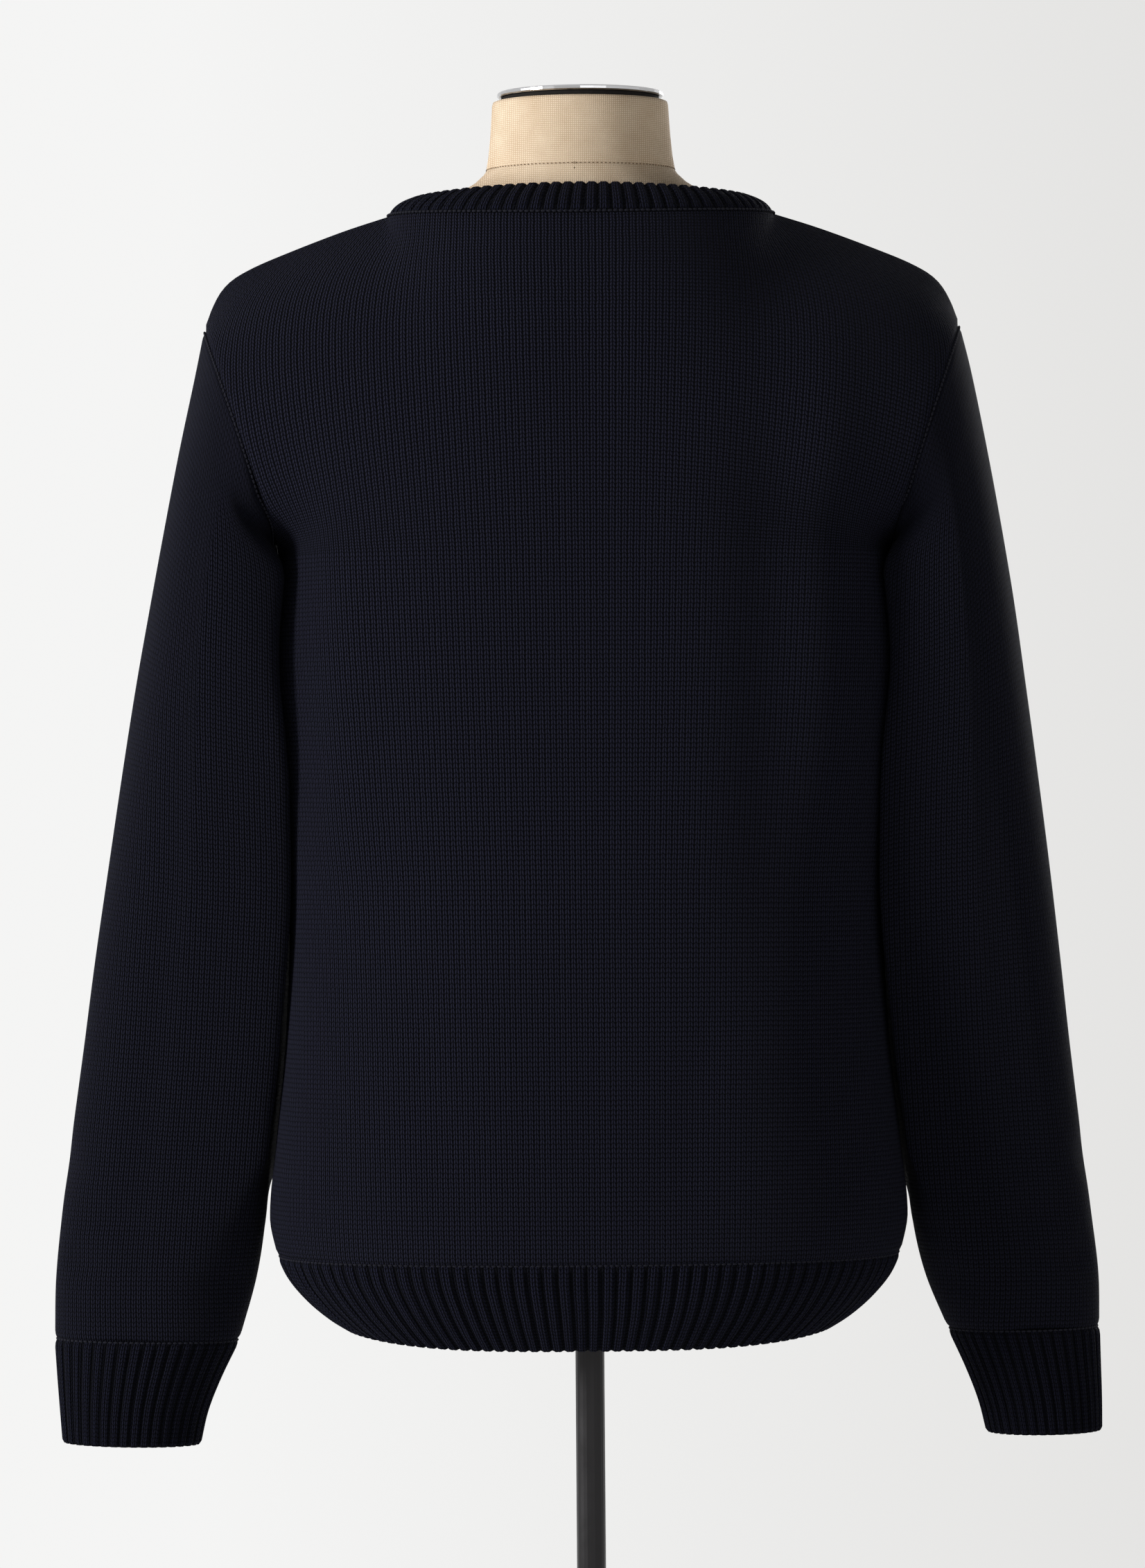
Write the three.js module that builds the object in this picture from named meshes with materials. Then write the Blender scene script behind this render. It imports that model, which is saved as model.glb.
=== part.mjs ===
// A knitted crew-neck sweater on a limbless dress form with a pole and a round base.
// Millimetres, +Z up, the front faces -Y and the wearer's left is +X.
// The origin is on the floor, on the axis of the pole.
//
// Every piece of cloth is a grid of points on its outer face: rows run up or along the piece and
// columns run across it. Pieces that are sewn together share the points of their seam, the inner
// face lies one cloth thickness behind, and each edge is drawn back by half of the seam gap.
import * as THREE from 'three';
import { mergeVertices } from 'three/addons/utils/BufferGeometryUtils.js';

// ---------------------------------------------------------------- driving dimensions
const CLOTH_THICKNESS = 3;
const SEAM_GAP = 0.3;
const HEM_SEAM_HEIGHT = 718;
const ARMPIT_HEIGHT = 1150;
const LOWER_ROWS = 9;
const UPPER_ROWS = 10;
const HALF_COLUMNS = 10;
const NECK_COLUMNS = 5;

// The body below the armpits: half width at the side seams, depth of the back and of the front
// from the pole's axis, and the squareness of the section (2 is an ellipse).
const BODY_SECTIONS = [
  { height: 718, side: 193, back: 117, front: 112, squareness: 2.5 },
  { height: 742, side: 197.5, back: 120, front: 115, squareness: 2.5 },
  { height: 790, side: 193, back: 119, front: 114, squareness: 2.5 },
  { height: 850, side: 187, back: 115, front: 112, squareness: 2.5 },
  { height: 930, side: 184, back: 111, front: 111, squareness: 2.5 },
  { height: 1000, side: 189, back: 112, front: 115, squareness: 2.6 },
  { height: 1080, side: 196, back: 116, front: 121, squareness: 2.7 },
  { height: 1150, side: 189, back: 119, front: 124, squareness: 2.8 },
];

// The centre lines of the back and the front panel above the armpits, from step 0 at the
// armpits to step 1 at the neckline.
const CENTRE_LINES = [
  { step: 0, backY: 119, backZ: 1150, frontY: 124, frontZ: 1150, squareness: 2.8 },
  { step: 0.2, backY: 122, backZ: 1190, frontY: 123, frontZ: 1181, squareness: 2.5 },
  { step: 0.4, backY: 123, backZ: 1232, frontY: 119, frontZ: 1213, squareness: 2.3 },
  { step: 0.6, backY: 119, backZ: 1276, frontY: 110, frontZ: 1244, squareness: 2.2 },
  { step: 0.8, backY: 106, backZ: 1322, frontY: 97, frontZ: 1273, squareness: 2.2 },
  { step: 1, backY: 80, backZ: 1366, frontY: 80, frontZ: 1298, squareness: 2.2 },
];

// The shoulder seam, from the side of the neck to the top of the armhole.
const SHOULDER_SEAM = [
  { x: 120, z: 1362 },
  { x: 148, z: 1353 },
  { x: 180, z: 1341 },
  { x: 205, z: 1330.5 },
  { x: 220, z: 1321 },
  { x: 229, z: 1308 },
  { x: 234, z: 1291 },
];

// The armhole is an oval loop that leans outward at its top.
const ARMHOLE = { x: 211.5, z: 1220.5, lean: 22.5, halfHeight: 70.5, back: 84, front: 80, hollow: 3 };

// The neckline's seam and the free edge of the neckband.
const NECK_SEAM = { side: 120, sideZ: 1362, back: 80, backZ: 1366, front: 80, frontZ: 1298 };
const NECK_EDGE = { side: 103, sideZ: 1373, back: 62, backZ: 1377.5, front: 66, frontZ: 1312 };

// The sleeves hang beside the body. Each ring has its outer and its inner (underarm) point and
// its half depth; forward is how far its middle lies in front of the pole's axis.
const LEFT_SLEEVE = [
  { outerX: 240, outerZ: 1262, innerX: 196, innerZ: 1138, depth: 78.5, forward: 0 },
  { outerX: 250, outerZ: 1217, innerX: 198.5, innerZ: 1120, depth: 76, forward: 1 },
  { outerX: 259.5, outerZ: 1170, innerX: 200.5, innerZ: 1094, depth: 75, forward: 2 },
  { outerX: 269, outerZ: 1121, innerX: 199.5, innerZ: 1062, depth: 74, forward: 3 },
  { outerX: 278, outerZ: 1073, innerX: 196.8, innerZ: 1030, depth: 71, forward: 4 },
  { outerX: 287, outerZ: 1020, innerX: 192.2, innerZ: 988, depth: 65, forward: 6 },
  { outerX: 296.5, outerZ: 960, innerX: 188.3, innerZ: 938, depth: 57, forward: 8 },
  { outerX: 305.5, outerZ: 902, innerX: 189, innerZ: 888, depth: 51, forward: 10 },
  { outerX: 313.5, outerZ: 845, innerX: 192, innerZ: 836, depth: 46, forward: 12 },
  { outerX: 321.5, outerZ: 790, innerX: 197.2, innerZ: 785, depth: 42, forward: 14 },
  { outerX: 328, outerZ: 742, innerX: 201.4, innerZ: 740, depth: 39, forward: 15 },
  { outerX: 332, outerZ: 703, innerX: 207, innerZ: 703, depth: 37, forward: 16 },
  { outerX: 333, outerZ: 666, innerX: 218, innerZ: 664, depth: 34.5, forward: 17 },
];
const RIGHT_SLEEVE = [
  { outerX: 241, outerZ: 1262, innerX: 196, innerZ: 1138, depth: 78.5, forward: 0 },
  { outerX: 250, outerZ: 1217, innerX: 198.5, innerZ: 1120, depth: 76, forward: 1 },
  { outerX: 258.5, outerZ: 1170, innerX: 200.5, innerZ: 1094, depth: 75, forward: 2 },
  { outerX: 266.5, outerZ: 1121, innerX: 199.5, innerZ: 1062, depth: 74, forward: 3 },
  { outerX: 273, outerZ: 1073, innerX: 196.8, innerZ: 1030, depth: 72, forward: 4 },
  { outerX: 280, outerZ: 1020, innerX: 192.2, innerZ: 988, depth: 67, forward: 6 },
  { outerX: 287.5, outerZ: 960, innerX: 188.3, innerZ: 938, depth: 61, forward: 8 },
  { outerX: 294, outerZ: 902, innerX: 189, innerZ: 888, depth: 56, forward: 10 },
  { outerX: 300, outerZ: 845, innerX: 192, innerZ: 836, depth: 52, forward: 12 },
  { outerX: 306.5, outerZ: 790, innerX: 197.5, innerZ: 785, depth: 48, forward: 14 },
  { outerX: 312.5, outerZ: 742, innerX: 201.4, innerZ: 740, depth: 45, forward: 15 },
  { outerX: 317, outerZ: 703, innerX: 209, innerZ: 703, depth: 42, forward: 16 },
  { outerX: 317.5, outerZ: 669, innerX: 223, innerZ: 668, depth: 38, forward: 17 },
];

// How far the inner face of a sleeve bends round the side of the body.
const SLEEVE_WRAP = 30;

// The cuffs narrow from the sleeve's end to the wrist opening.
const LEFT_CUFF = [
  { outerX: 331.5, outerZ: 642, innerX: 229.5, innerZ: 641, depth: 32, forward: 17 },
  { outerX: 330, outerZ: 621, innerX: 238, innerZ: 620, depth: 30, forward: 17 },
  { outerX: 328.5, outerZ: 601, innerX: 243, innerZ: 599, depth: 29, forward: 17 },
];
const RIGHT_CUFF = [
  { outerX: 318, outerZ: 645, innerX: 234, innerZ: 644, depth: 35, forward: 17 },
  { outerX: 318.5, outerZ: 624, innerX: 242, innerZ: 623, depth: 33, forward: 17 },
  { outerX: 318.5, outerZ: 604, innerX: 247, innerZ: 603, depth: 32, forward: 17 },
];

// The hem rib draws in under the body. Its edge is higher at the sides than at front and back.
const HEM_ROWS = [
  { side: 186, back: 115, front: 110, height: 703, sideRise: 1 },
  { side: 175, back: 108, front: 104, height: 687, sideRise: 4 },
  { side: 162, back: 101, front: 97, height: 674, sideRise: 6 },
  { side: 149, back: 95, front: 91, height: 664, sideRise: 8 },
];

// Soft vertical folds: where each lies, how far it runs, how wide and how deep it is.
// A positive depth is a trough and a negative one a ridge.
const BODY_FOLDS = [
  { x: 178, z: 1085, halfWidth: 22, halfLength: 110, depth: 4 },
  { x: 150, z: 1070, halfWidth: 20, halfLength: 120, depth: -3 },
  { x: -112, z: 1075, halfWidth: 24, halfLength: 160, depth: 3.5 },
  { x: -150, z: 900, halfWidth: 22, halfLength: 110, depth: 3 },
  { x: -150, z: 1130, halfWidth: 20, halfLength: 150, depth: -2.5 },
];

// The dress form: its cloth-covered body keeps clear of the sweater and touches it only at the
// shoulders, and its neck ends under a steel cap.
const FORM_SHOULDER_INSET = 3.4;
const FORM_BODY_INSET = 9;
const FORM_EDGE_RELIEF = 1.8;
const FORM_BOTTOM_RINGS = [
  { scale: 0.965, height: 748 },
  { scale: 0.87, height: 728 },
  { scale: 0.7, height: 716 },
];
const FORM_NECK = { side: 58, depth: 50, centreY: 4, seamZ: 1389 };
const FORM_NECK_TOP = { side: 54.5, depth: 49, centreY: 2, height: 1431.5 };
const NECK_RING = { radius: 49, height: 2 };
const NECK_CAP = { radius: 51.5, height: 3, rim: 0.8 };
const POLE = { radius: 9, bottom: 26 };
const SOCKET = { radius: 17, height: 25, plateRadius: 45, plateHeight: 4 };
const BASE = { radius: 190, edge: 5, crown: 14, hub: 24, hubHeight: 12, hubRadius: 16 };
const FLAT_GAP = 0.3;

// Finishes.
const NAVY_KNIT = new THREE.MeshStandardMaterial({ color: 0x1b1c27, roughness: 0.95, metalness: 0 });
const LINEN = new THREE.MeshStandardMaterial({ color: 0xc4b099, roughness: 0.9, metalness: 0 });
const BLACK_TRIM = new THREE.MeshStandardMaterial({ color: 0x151210, roughness: 0.7, metalness: 0 });
const POLISHED_STEEL = new THREE.MeshStandardMaterial({ color: 0xb8b8b8, roughness: 0.2, metalness: 1 });
const DARK_STEEL = new THREE.MeshStandardMaterial({ color: 0x3c3b3c, roughness: 0.4, metalness: 0.8 });

const sweaterOnForm = new THREE.Group();

// ---------------------------------------------------------------- reading tables and lines

// Reads one column of a table at any value of its key column, along a smooth curve.
function readTable(table, key, column, at) {
  const last = table.length - 1;
  let i = 0;
  while (i < last - 1 && at > table[i + 1][key]) {
    i += 1;
  }
  const slope = (k) => {
    const before = table[Math.max(k - 1, 0)];
    const after = table[Math.min(k + 1, last)];
    return (after[column] - before[column]) / (after[key] - before[key]);
  };
  const span = table[i + 1][key] - table[i][key];
  const t = Math.min(Math.max((at - table[i][key]) / span, 0), 1);
  const start = (1 + 2 * t) * (1 - t) ** 2 * table[i][column];
  const end = t * t * (3 - 2 * t) * table[i + 1][column];
  const bend = t * (1 - t) ** 2 * slope(i) - t * t * (1 - t) * slope(i + 1);
  return start + end + bend * span;
}

// Points at equal distances along a plane curve that is given as a function of 0 to 1.
function evenly(curve, count) {
  const steps = 120;
  const points = [];
  const lengths = [0];
  for (let i = 0; i <= steps; i += 1) {
    points.push(curve(i / steps));
    if (i > 0) {
      lengths.push(lengths[i - 1] + points[i].distanceTo(points[i - 1]));
    }
  }
  const result = [];
  let k = 0;
  for (let i = 0; i <= count; i += 1) {
    const target = (lengths[steps] * i) / count;
    while (k < steps - 1 && lengths[k + 1] < target) {
      k += 1;
    }
    const t = (target - lengths[k]) / (lengths[k + 1] - lengths[k]);
    result.push(points[k].clone().lerp(points[k + 1], t));
  }
  return result;
}

// A point of the armhole, from step 0 under the arm to step 1 at the shoulder, to the back or front.
function armholePoint(step, toBack) {
  const angle = Math.PI * (1 - step);
  const x = ARMHOLE.x + ARMHOLE.lean * Math.cos(angle) - ARMHOLE.hollow * Math.sin(angle) ** 2;
  const y = toBack ? ARMHOLE.back : -ARMHOLE.front;
  return new THREE.Vector3(x, y * Math.sin(angle), ARMHOLE.z + ARMHOLE.halfHeight * Math.cos(angle));
}

// A point of the neckline's seam or of the neckband's free edge: turn 0 is the middle and 1 the side.
function necklinePoint(line, turn, toBack) {
  const angle = (turn * Math.PI) / 2;
  const depth = toBack ? line.back : -line.front;
  const middleZ = toBack ? line.backZ : line.frontZ;
  const drop = (middleZ - line.sideZ) * Math.cos(angle) ** (toBack ? 2 : 1.5);
  return new THREE.Vector3(line.side * Math.sin(angle), depth * Math.cos(angle), line.sideZ + drop);
}

const shoulderCurve = new THREE.CatmullRomCurve3(
  SHOULDER_SEAM.map(({ x, z }) => new THREE.Vector3(x, 0, z)),
);

// The top edge of a panel from its middle: the neckline first, then the shoulder seam.
function topEdgePoint(column, toBack) {
  if (column <= NECK_COLUMNS) {
    return necklinePoint(NECK_SEAM, column / NECK_COLUMNS, toBack);
  }
  return shoulderCurve.getPointAt((column - NECK_COLUMNS) / (HALF_COLUMNS - NECK_COLUMNS));
}

// ---------------------------------------------------------------- the body panels

// A quarter of a rounded section from the middle of a panel to a given end point, in equal steps.
function quarterSection(depth, end, squareness) {
  const share = Math.min(Math.abs(end.y) / depth, 0.999);
  const reach = end.x / (1 - share ** squareness) ** (1 / squareness);
  const turn = Math.atan2((end.x / reach) ** (squareness / 2), share ** (squareness / 2));
  const power = 2 / squareness;
  const curve = (t) => new THREE.Vector3(
    reach * Math.sin(t * turn) ** power,
    depth * Math.max(Math.cos(t * turn), 0) ** power,
    0,
  );
  return evenly(curve, HALF_COLUMNS);
}

// Half of one row of a panel, from its middle to its side seam or armhole, on the +X side.
function halfRow(row, toBack) {
  const sign = toBack ? 1 : -1;
  if (row < LOWER_ROWS) {
    const height = HEM_SEAM_HEIGHT + ((ARMPIT_HEIGHT - HEM_SEAM_HEIGHT) * row) / LOWER_ROWS;
    const depth = readTable(BODY_SECTIONS, 'height', toBack ? 'back' : 'front', height);
    const side = readTable(BODY_SECTIONS, 'height', 'side', height);
    const squareness = readTable(BODY_SECTIONS, 'height', 'squareness', height);
    const points = quarterSection(depth, new THREE.Vector3(side, 0, height), squareness);
    return points.map((p) => new THREE.Vector3(p.x, sign * p.y, height));
  }
  const step = (row - LOWER_ROWS) / UPPER_ROWS;
  const middle = {
    depth: readTable(CENTRE_LINES, 'step', toBack ? 'backY' : 'frontY', step),
    height: readTable(CENTRE_LINES, 'step', toBack ? 'backZ' : 'frontZ', step),
  };
  const squareness = readTable(CENTRE_LINES, 'step', 'squareness', step);
  const end = armholePoint(step, toBack);
  const points = quarterSection(middle.depth, end, squareness);

  // Near the top the rounded row gives way to the neckline and the shoulder seam.
  const crest = quarterSection(CENTRE_LINES[CENTRE_LINES.length - 1][toBack ? 'backY' : 'frontY'],
    armholePoint(1, toBack), squareness);
  const crestZ = CENTRE_LINES[CENTRE_LINES.length - 1][toBack ? 'backZ' : 'frontZ'];
  const tipZ = armholePoint(1, toBack).z;
  const blend = step ** 4;
  return points.map((p, column) => {
    const across = (column / HALF_COLUMNS) ** 2;
    const top = topEdgePoint(column, toBack);
    return new THREE.Vector3(
      p.x + blend * (top.x - crest[column].x),
      sign * p.y + blend * (top.y - sign * crest[column].y),
      middle.height + (end.z - middle.height) * across
        + blend * (top.z - crestZ - (tipZ - crestZ) * across),
    );
  });
}

// How far the folds push a point of the body inward.
function foldDepth(x, z) {
  let depth = 0;
  for (const fold of BODY_FOLDS) {
    const across = (x - fold.x) / fold.halfWidth;
    const along = (z - fold.z) / fold.halfLength;
    depth += fold.depth * Math.exp(-across * across - along ** 4);
  }
  return depth;
}

// A whole panel: rows from the hem seam to the top edge, columns from the -X side to the +X side.
function panelGrid(toBack) {
  const rows = [];
  for (let row = 0; row <= LOWER_ROWS + UPPER_ROWS; row += 1) {
    const half = halfRow(row, toBack);
    const mirrored = half.slice(1).reverse().map((p) => new THREE.Vector3(-p.x, p.y, p.z));
    const whole = [...mirrored, ...half];
    whole.forEach((p, i) => {
      const inside = i > 0 && i < whole.length - 1;
      p.y -= inside ? Math.sign(p.y) * foldDepth(p.x, p.z) * Math.min(Math.abs(p.y) / 60, 1) : 0;
    });
    rows.push(whole);
  }
  return rows;
}

// ---------------------------------------------------------------- tubes

const RING_POINTS = 2 * UPPER_ROWS;

// A sleeve ring: from its outer point over the back to the underarm point and round the front.
// Beside the body its inner face is squarer and bends round the body's side by the wrap.
function sleeveRing(section, side, wrap = 0) {
  const ring = [];
  for (let i = 0; i < RING_POINTS; i += 1) {
    const angle = (2 * Math.PI * i) / RING_POINTS;
    const cos = Math.cos(angle);
    const sin = Math.sin(angle);
    const power = cos < 0 ? 1 - wrap / SLEEVE_WRAP / 3 : 1;
    const out = (1 + Math.sign(cos) * Math.abs(cos) ** power) / 2;
    const bend = wrap * sin * sin * Math.sqrt(Math.max(-cos, 0));
    const x = section.innerX + (section.outerX - section.innerX) * out - bend;
    const z = section.innerZ + (section.outerZ - section.innerZ) * out;
    const y = section.depth * Math.sign(sin) * Math.abs(sin) ** power - section.forward;
    ring.push(new THREE.Vector3(side * x, y, z));
  }
  return ring;
}

// The armhole as a ring with the same order of points as the sleeve's rings.
function armholeRing(side) {
  const ring = [];
  for (let i = 0; i < RING_POINTS; i += 1) {
    const toBack = i <= UPPER_ROWS;
    const p = armholePoint(1 - (toBack ? i : RING_POINTS - i) / UPPER_ROWS, toBack);
    ring.push(new THREE.Vector3(side * p.x, p.y, p.z));
  }
  return ring;
}

// A soft trough runs down the back of each sleeve, and a shallower one down its front.
function troughSleeve(rings) {
  rings.forEach((ring, k) => {
    const along = Math.sin((Math.PI * Math.min(Math.max(k - 2, 0), rings.length - 3)) / (rings.length - 1));
    ring.forEach((p, i) => {
      const angle = (2 * Math.PI * i) / RING_POINTS;
      const back = Math.exp(-(((angle - 1.35) / 0.38) ** 2));
      const front = Math.exp(-(((angle - 4.8) / 0.42) ** 2));
      p.y += along * (3 * front - 5 * back);
    });
  });
}

// A ring round the body or the neck from two half rows: the back from +X to -X, then the front.
function bodyRing(backRow, frontRow) {
  return [...backRow.slice().reverse(), ...frontRow.slice(1, -1)];
}

// A ring of the hem, spread round like the body's lowest row.
function hemRing(section, seamRing) {
  return seamRing.map((p) => {
    const seam = BODY_SECTIONS[0];
    const x = (p.x / seam.side) * section.side;
    const y = p.y * (p.y > 0 ? section.back / seam.back : section.front / seam.front);
    const sideways = Math.min(Math.abs(p.x) / seam.side, 1);
    return new THREE.Vector3(x, y, section.height + section.sideRise * sideways ** 4);
  });
}

// ---------------------------------------------------------------- thickness and seams

// The outward direction at each point of a grid. A tube's rings close on themselves.
function gridNormals(grid, closed, outside) {
  return grid.map((row, r) => row.map((p, c) => {
    const count = row.length;
    const before = closed ? row[(c + count - 1) % count] : row[Math.max(c - 1, 0)];
    const after = closed ? row[(c + 1) % count] : row[Math.min(c + 1, count - 1)];
    const below = grid[Math.max(r - 1, 0)][c];
    const above = grid[Math.min(r + 1, grid.length - 1)][c];
    const across = after.clone().sub(before);
    const along = above.clone().sub(below);
    const normal = across.cross(along).normalize();
    return normal.dot(outside(p)) < 0 ? normal.negate() : normal;
  }));
}

const pointKey = (p) => [p.x, p.y, p.z].map((value) => Math.round(value * 100)).join('_');

// Adds up the outward directions of one group of pieces at each of its points.
function addDirections(directions, grid, normals) {
  grid.forEach((row, r) => row.forEach((p, c) => {
    const key = pointKey(p);
    const sum = directions.get(key) ?? new THREE.Vector3();
    directions.set(key, sum.add(normals[r][c]));
  }));
}

// The step from the outer face to the inner face at a point: along the mean of the directions
// of the pieces that meet there, and longer where they meet at an angle.
function inwardStep(p, groups, thickness) {
  const sum = new THREE.Vector3();
  let count = 0;
  for (const directions of groups) {
    const direction = directions.get(pointKey(p));
    if (direction) {
      sum.add(direction.clone().normalize());
      count += 1;
    }
  }
  const stretch = Math.min(count / sum.length(), 2);
  return sum.normalize().multiplyScalar(-thickness * stretch);
}

// Draws the edges of a grid back by half of the seam gap.
function drawBack(grid, closed, rowEnds) {
  const copy = grid.map((row) => row.map((p) => p.clone()));
  const nudge = (r, c, towardR, towardC) => {
    const step = grid[towardR][towardC].clone().sub(grid[r][c]).setLength(SEAM_GAP / 2);
    copy[r][c].add(step);
  };
  const last = grid.length - 1;
  const end = grid[0].length - 1;
  for (let c = 0; c <= end; c += 1) {
    if (rowEnds.first) {
      nudge(0, c, 1, c);
    }
    if (rowEnds.last) {
      nudge(last, c, last - 1, c);
    }
  }
  for (let r = 0; !closed && r <= last; r += 1) {
    nudge(r, 0, r, 1);
    nudge(r, end, r, end - 1);
  }
  return copy;
}

// ---------------------------------------------------------------- building solids

// Collects triangles and turns them into one closed mesh with its faces outward.
class Skin {
  constructor() {
    this.corners = [];
  }

  triangle(a, b, c) {
    this.corners.push(a, b, c);
  }

  // A four-sided patch, cut along its shorter diagonal.
  patch(a, b, c, d) {
    if (a.distanceToSquared(c) <= b.distanceToSquared(d)) {
      this.triangle(a, b, c);
      this.triangle(a, c, d);
    } else {
      this.triangle(a, b, d);
      this.triangle(b, c, d);
    }
  }

  // The strip between two rows of points of equal length.
  strip(lower, upper, closed) {
    const count = closed ? lower.length : lower.length - 1;
    for (let c = 0; c < count; c += 1) {
      const next = (c + 1) % lower.length;
      this.patch(lower[c], lower[next], upper[next], upper[c]);
    }
  }

  // A flat or domed end on a ring, round one middle point.
  end(ring, middle) {
    for (let c = 0; c < ring.length; c += 1) {
      this.triangle(ring[c], ring[(c + 1) % ring.length], middle);
    }
  }

  mesh(name, material) {
    const positions = new Float32Array(this.corners.flatMap((p) => [p.x, p.y, p.z]));
    let geometry = new THREE.BufferGeometry();
    geometry.setAttribute('position', new THREE.BufferAttribute(positions, 3));
    let volume = 0;
    for (let i = 0; i < this.corners.length; i += 3) {
      const [a, b, c] = this.corners.slice(i, i + 3);
      volume += a.dot(b.clone().cross(c));
    }
    geometry = mergeVertices(geometry, 0.0001);
    if (volume < 0) {
      geometry.index.array.reverse();
    }
    geometry.computeVertexNormals();
    const result = new THREE.Mesh(geometry, material);
    result.name = name;
    return result;
  }
}

// A wall of cloth between an outer and an inner grid, with its edges closed.
function clothWall(name, outer, inner, closed) {
  const skin = new Skin();
  const last = outer.length - 1;
  for (let r = 0; r < last; r += 1) {
    skin.strip(outer[r], outer[r + 1], closed);
    skin.strip(inner[r + 1], inner[r], closed);
  }
  skin.strip(inner[0], outer[0], closed);
  skin.strip(outer[last], inner[last], closed);
  if (!closed) {
    const end = outer[0].length - 1;
    skin.strip(outer.map((row) => row[0]), inner.map((row) => row[0]), false);
    skin.strip(inner.map((row) => row[end]), outer.map((row) => row[end]), false);
  }
  return skin.mesh(name, NAVY_KNIT);
}

// ---------------------------------------------------------------- the sweater's grids

const fromAxis = (p) => new THREE.Vector3(p.x * 0.5, p.y, Math.max(p.z - 1280, 0) * 2);
const backGrid = panelGrid(true);
const frontGrid = panelGrid(false);
const middleOf = (ring) => ring.reduce((sum, p) => sum.add(p), new THREE.Vector3()).divideScalar(ring.length);

function sleeveGrid(sections, side) {
  const besideBody = sections.length - 2;
  const rings = [armholeRing(side), ...sections.map((section, k) => {
    const wrap = SLEEVE_WRAP * Math.sin((Math.PI * Math.min(k, besideBody)) / besideBody) ** 0.7;
    return sleeveRing(section, side, wrap);
  })];
  troughSleeve(rings);
  return rings;
}

function cuffGrid(sections, sleeve, side) {
  return [sleeve[sleeve.length - 1], ...sections.map((section) => sleeveRing(section, side))];
}

const leftSleeve = sleeveGrid(LEFT_SLEEVE, 1);
const rightSleeve = sleeveGrid(RIGHT_SLEEVE, -1);
const leftCuff = cuffGrid(LEFT_CUFF, leftSleeve, 1);
const rightCuff = cuffGrid(RIGHT_CUFF, rightSleeve, -1);

const hemSeam = bodyRing(backGrid[0], frontGrid[0]);
const hem = [hemSeam, ...HEM_ROWS.map((section) => hemRing(section, hemSeam))];

const topRow = LOWER_ROWS + UPPER_ROWS;
const neckPart = (grid) => grid[topRow].slice(HALF_COLUMNS - NECK_COLUMNS, HALF_COLUMNS + NECK_COLUMNS + 1);
const neckSeam = bodyRing(neckPart(backGrid), neckPart(frontGrid));
const neckEdge = neckSeam.map((p, i) => {
  const toBack = i <= 2 * NECK_COLUMNS;
  const turn = toBack ? 1 - i / NECK_COLUMNS : (i - 3 * NECK_COLUMNS) / NECK_COLUMNS;
  const edge = necklinePoint(NECK_EDGE, Math.abs(turn), toBack);
  return new THREE.Vector3(Math.sign(turn) * edge.x, edge.y, edge.z);
});
const neckMiddle = neckSeam.map((p, i) => {
  const crown = new THREE.Vector3(p.x * 0.012, p.y * 0.012, 1.2);
  return p.clone().lerp(neckEdge[i], 0.5).add(crown);
});
const neckband = [neckSeam, neckMiddle, neckEdge];

// ---------------------------------------------------------------- the sweater's pieces

// Each group of pieces has its own outward directions, and seams take the mean of both sides.
const tubeOutside = (tube) => {
  const middles = tube.map(middleOf);
  return (p) => {
    const nearest = middles.reduce((best, m) => (m.distanceTo(p) < best.distanceTo(p) ? m : best));
    return p.clone().sub(nearest);
  };
};
const pieces = [
  { name: 'back_panel', group: 'body', grid: backGrid, closed: false, outside: fromAxis, seams: { first: true, last: true } },
  { name: 'front_panel', group: 'body', grid: frontGrid, closed: false, outside: fromAxis, seams: { first: true, last: true } },
  { name: 'sleeve_left', group: 'sleeve', grid: leftSleeve, closed: true, outside: tubeOutside(leftSleeve), seams: { first: true, last: true } },
  { name: 'sleeve_right', group: 'sleeve', grid: rightSleeve, closed: true, outside: tubeOutside(rightSleeve), seams: { first: true, last: true } },
  { name: 'cuff_left', group: 'cuff', grid: leftCuff, closed: true, outside: tubeOutside(leftCuff), seams: { first: true, last: false } },
  { name: 'cuff_right', group: 'cuff', grid: rightCuff, closed: true, outside: tubeOutside(rightCuff), seams: { first: true, last: false } },
  { name: 'hem_rib', group: 'hem', grid: hem, closed: true, outside: fromAxis, seams: { first: true, last: false } },
  { name: 'neckband', group: 'neck', grid: neckband, closed: true, outside: fromAxis, seams: { first: true, last: false } },
];

const groups = new Map();
for (const piece of pieces) {
  if (!groups.has(piece.group)) {
    groups.set(piece.group, new Map());
  }
  piece.normals = gridNormals(piece.grid, piece.closed, piece.outside);
  addDirections(groups.get(piece.group), piece.grid, piece.normals);
}
const allGroups = [...groups.values()];

for (const piece of pieces) {
  const inner = piece.grid.map((row) => row.map((p) => p.clone().add(inwardStep(p, allGroups, CLOTH_THICKNESS))));
  const outerDrawn = drawBack(piece.grid, piece.closed, piece.seams);
  const innerDrawn = drawBack(inner, piece.closed, piece.seams);
  sweaterOnForm.add(clothWall(piece.name, outerDrawn, innerDrawn, piece.closed));
}

// ---------------------------------------------------------------- the dress form

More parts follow.
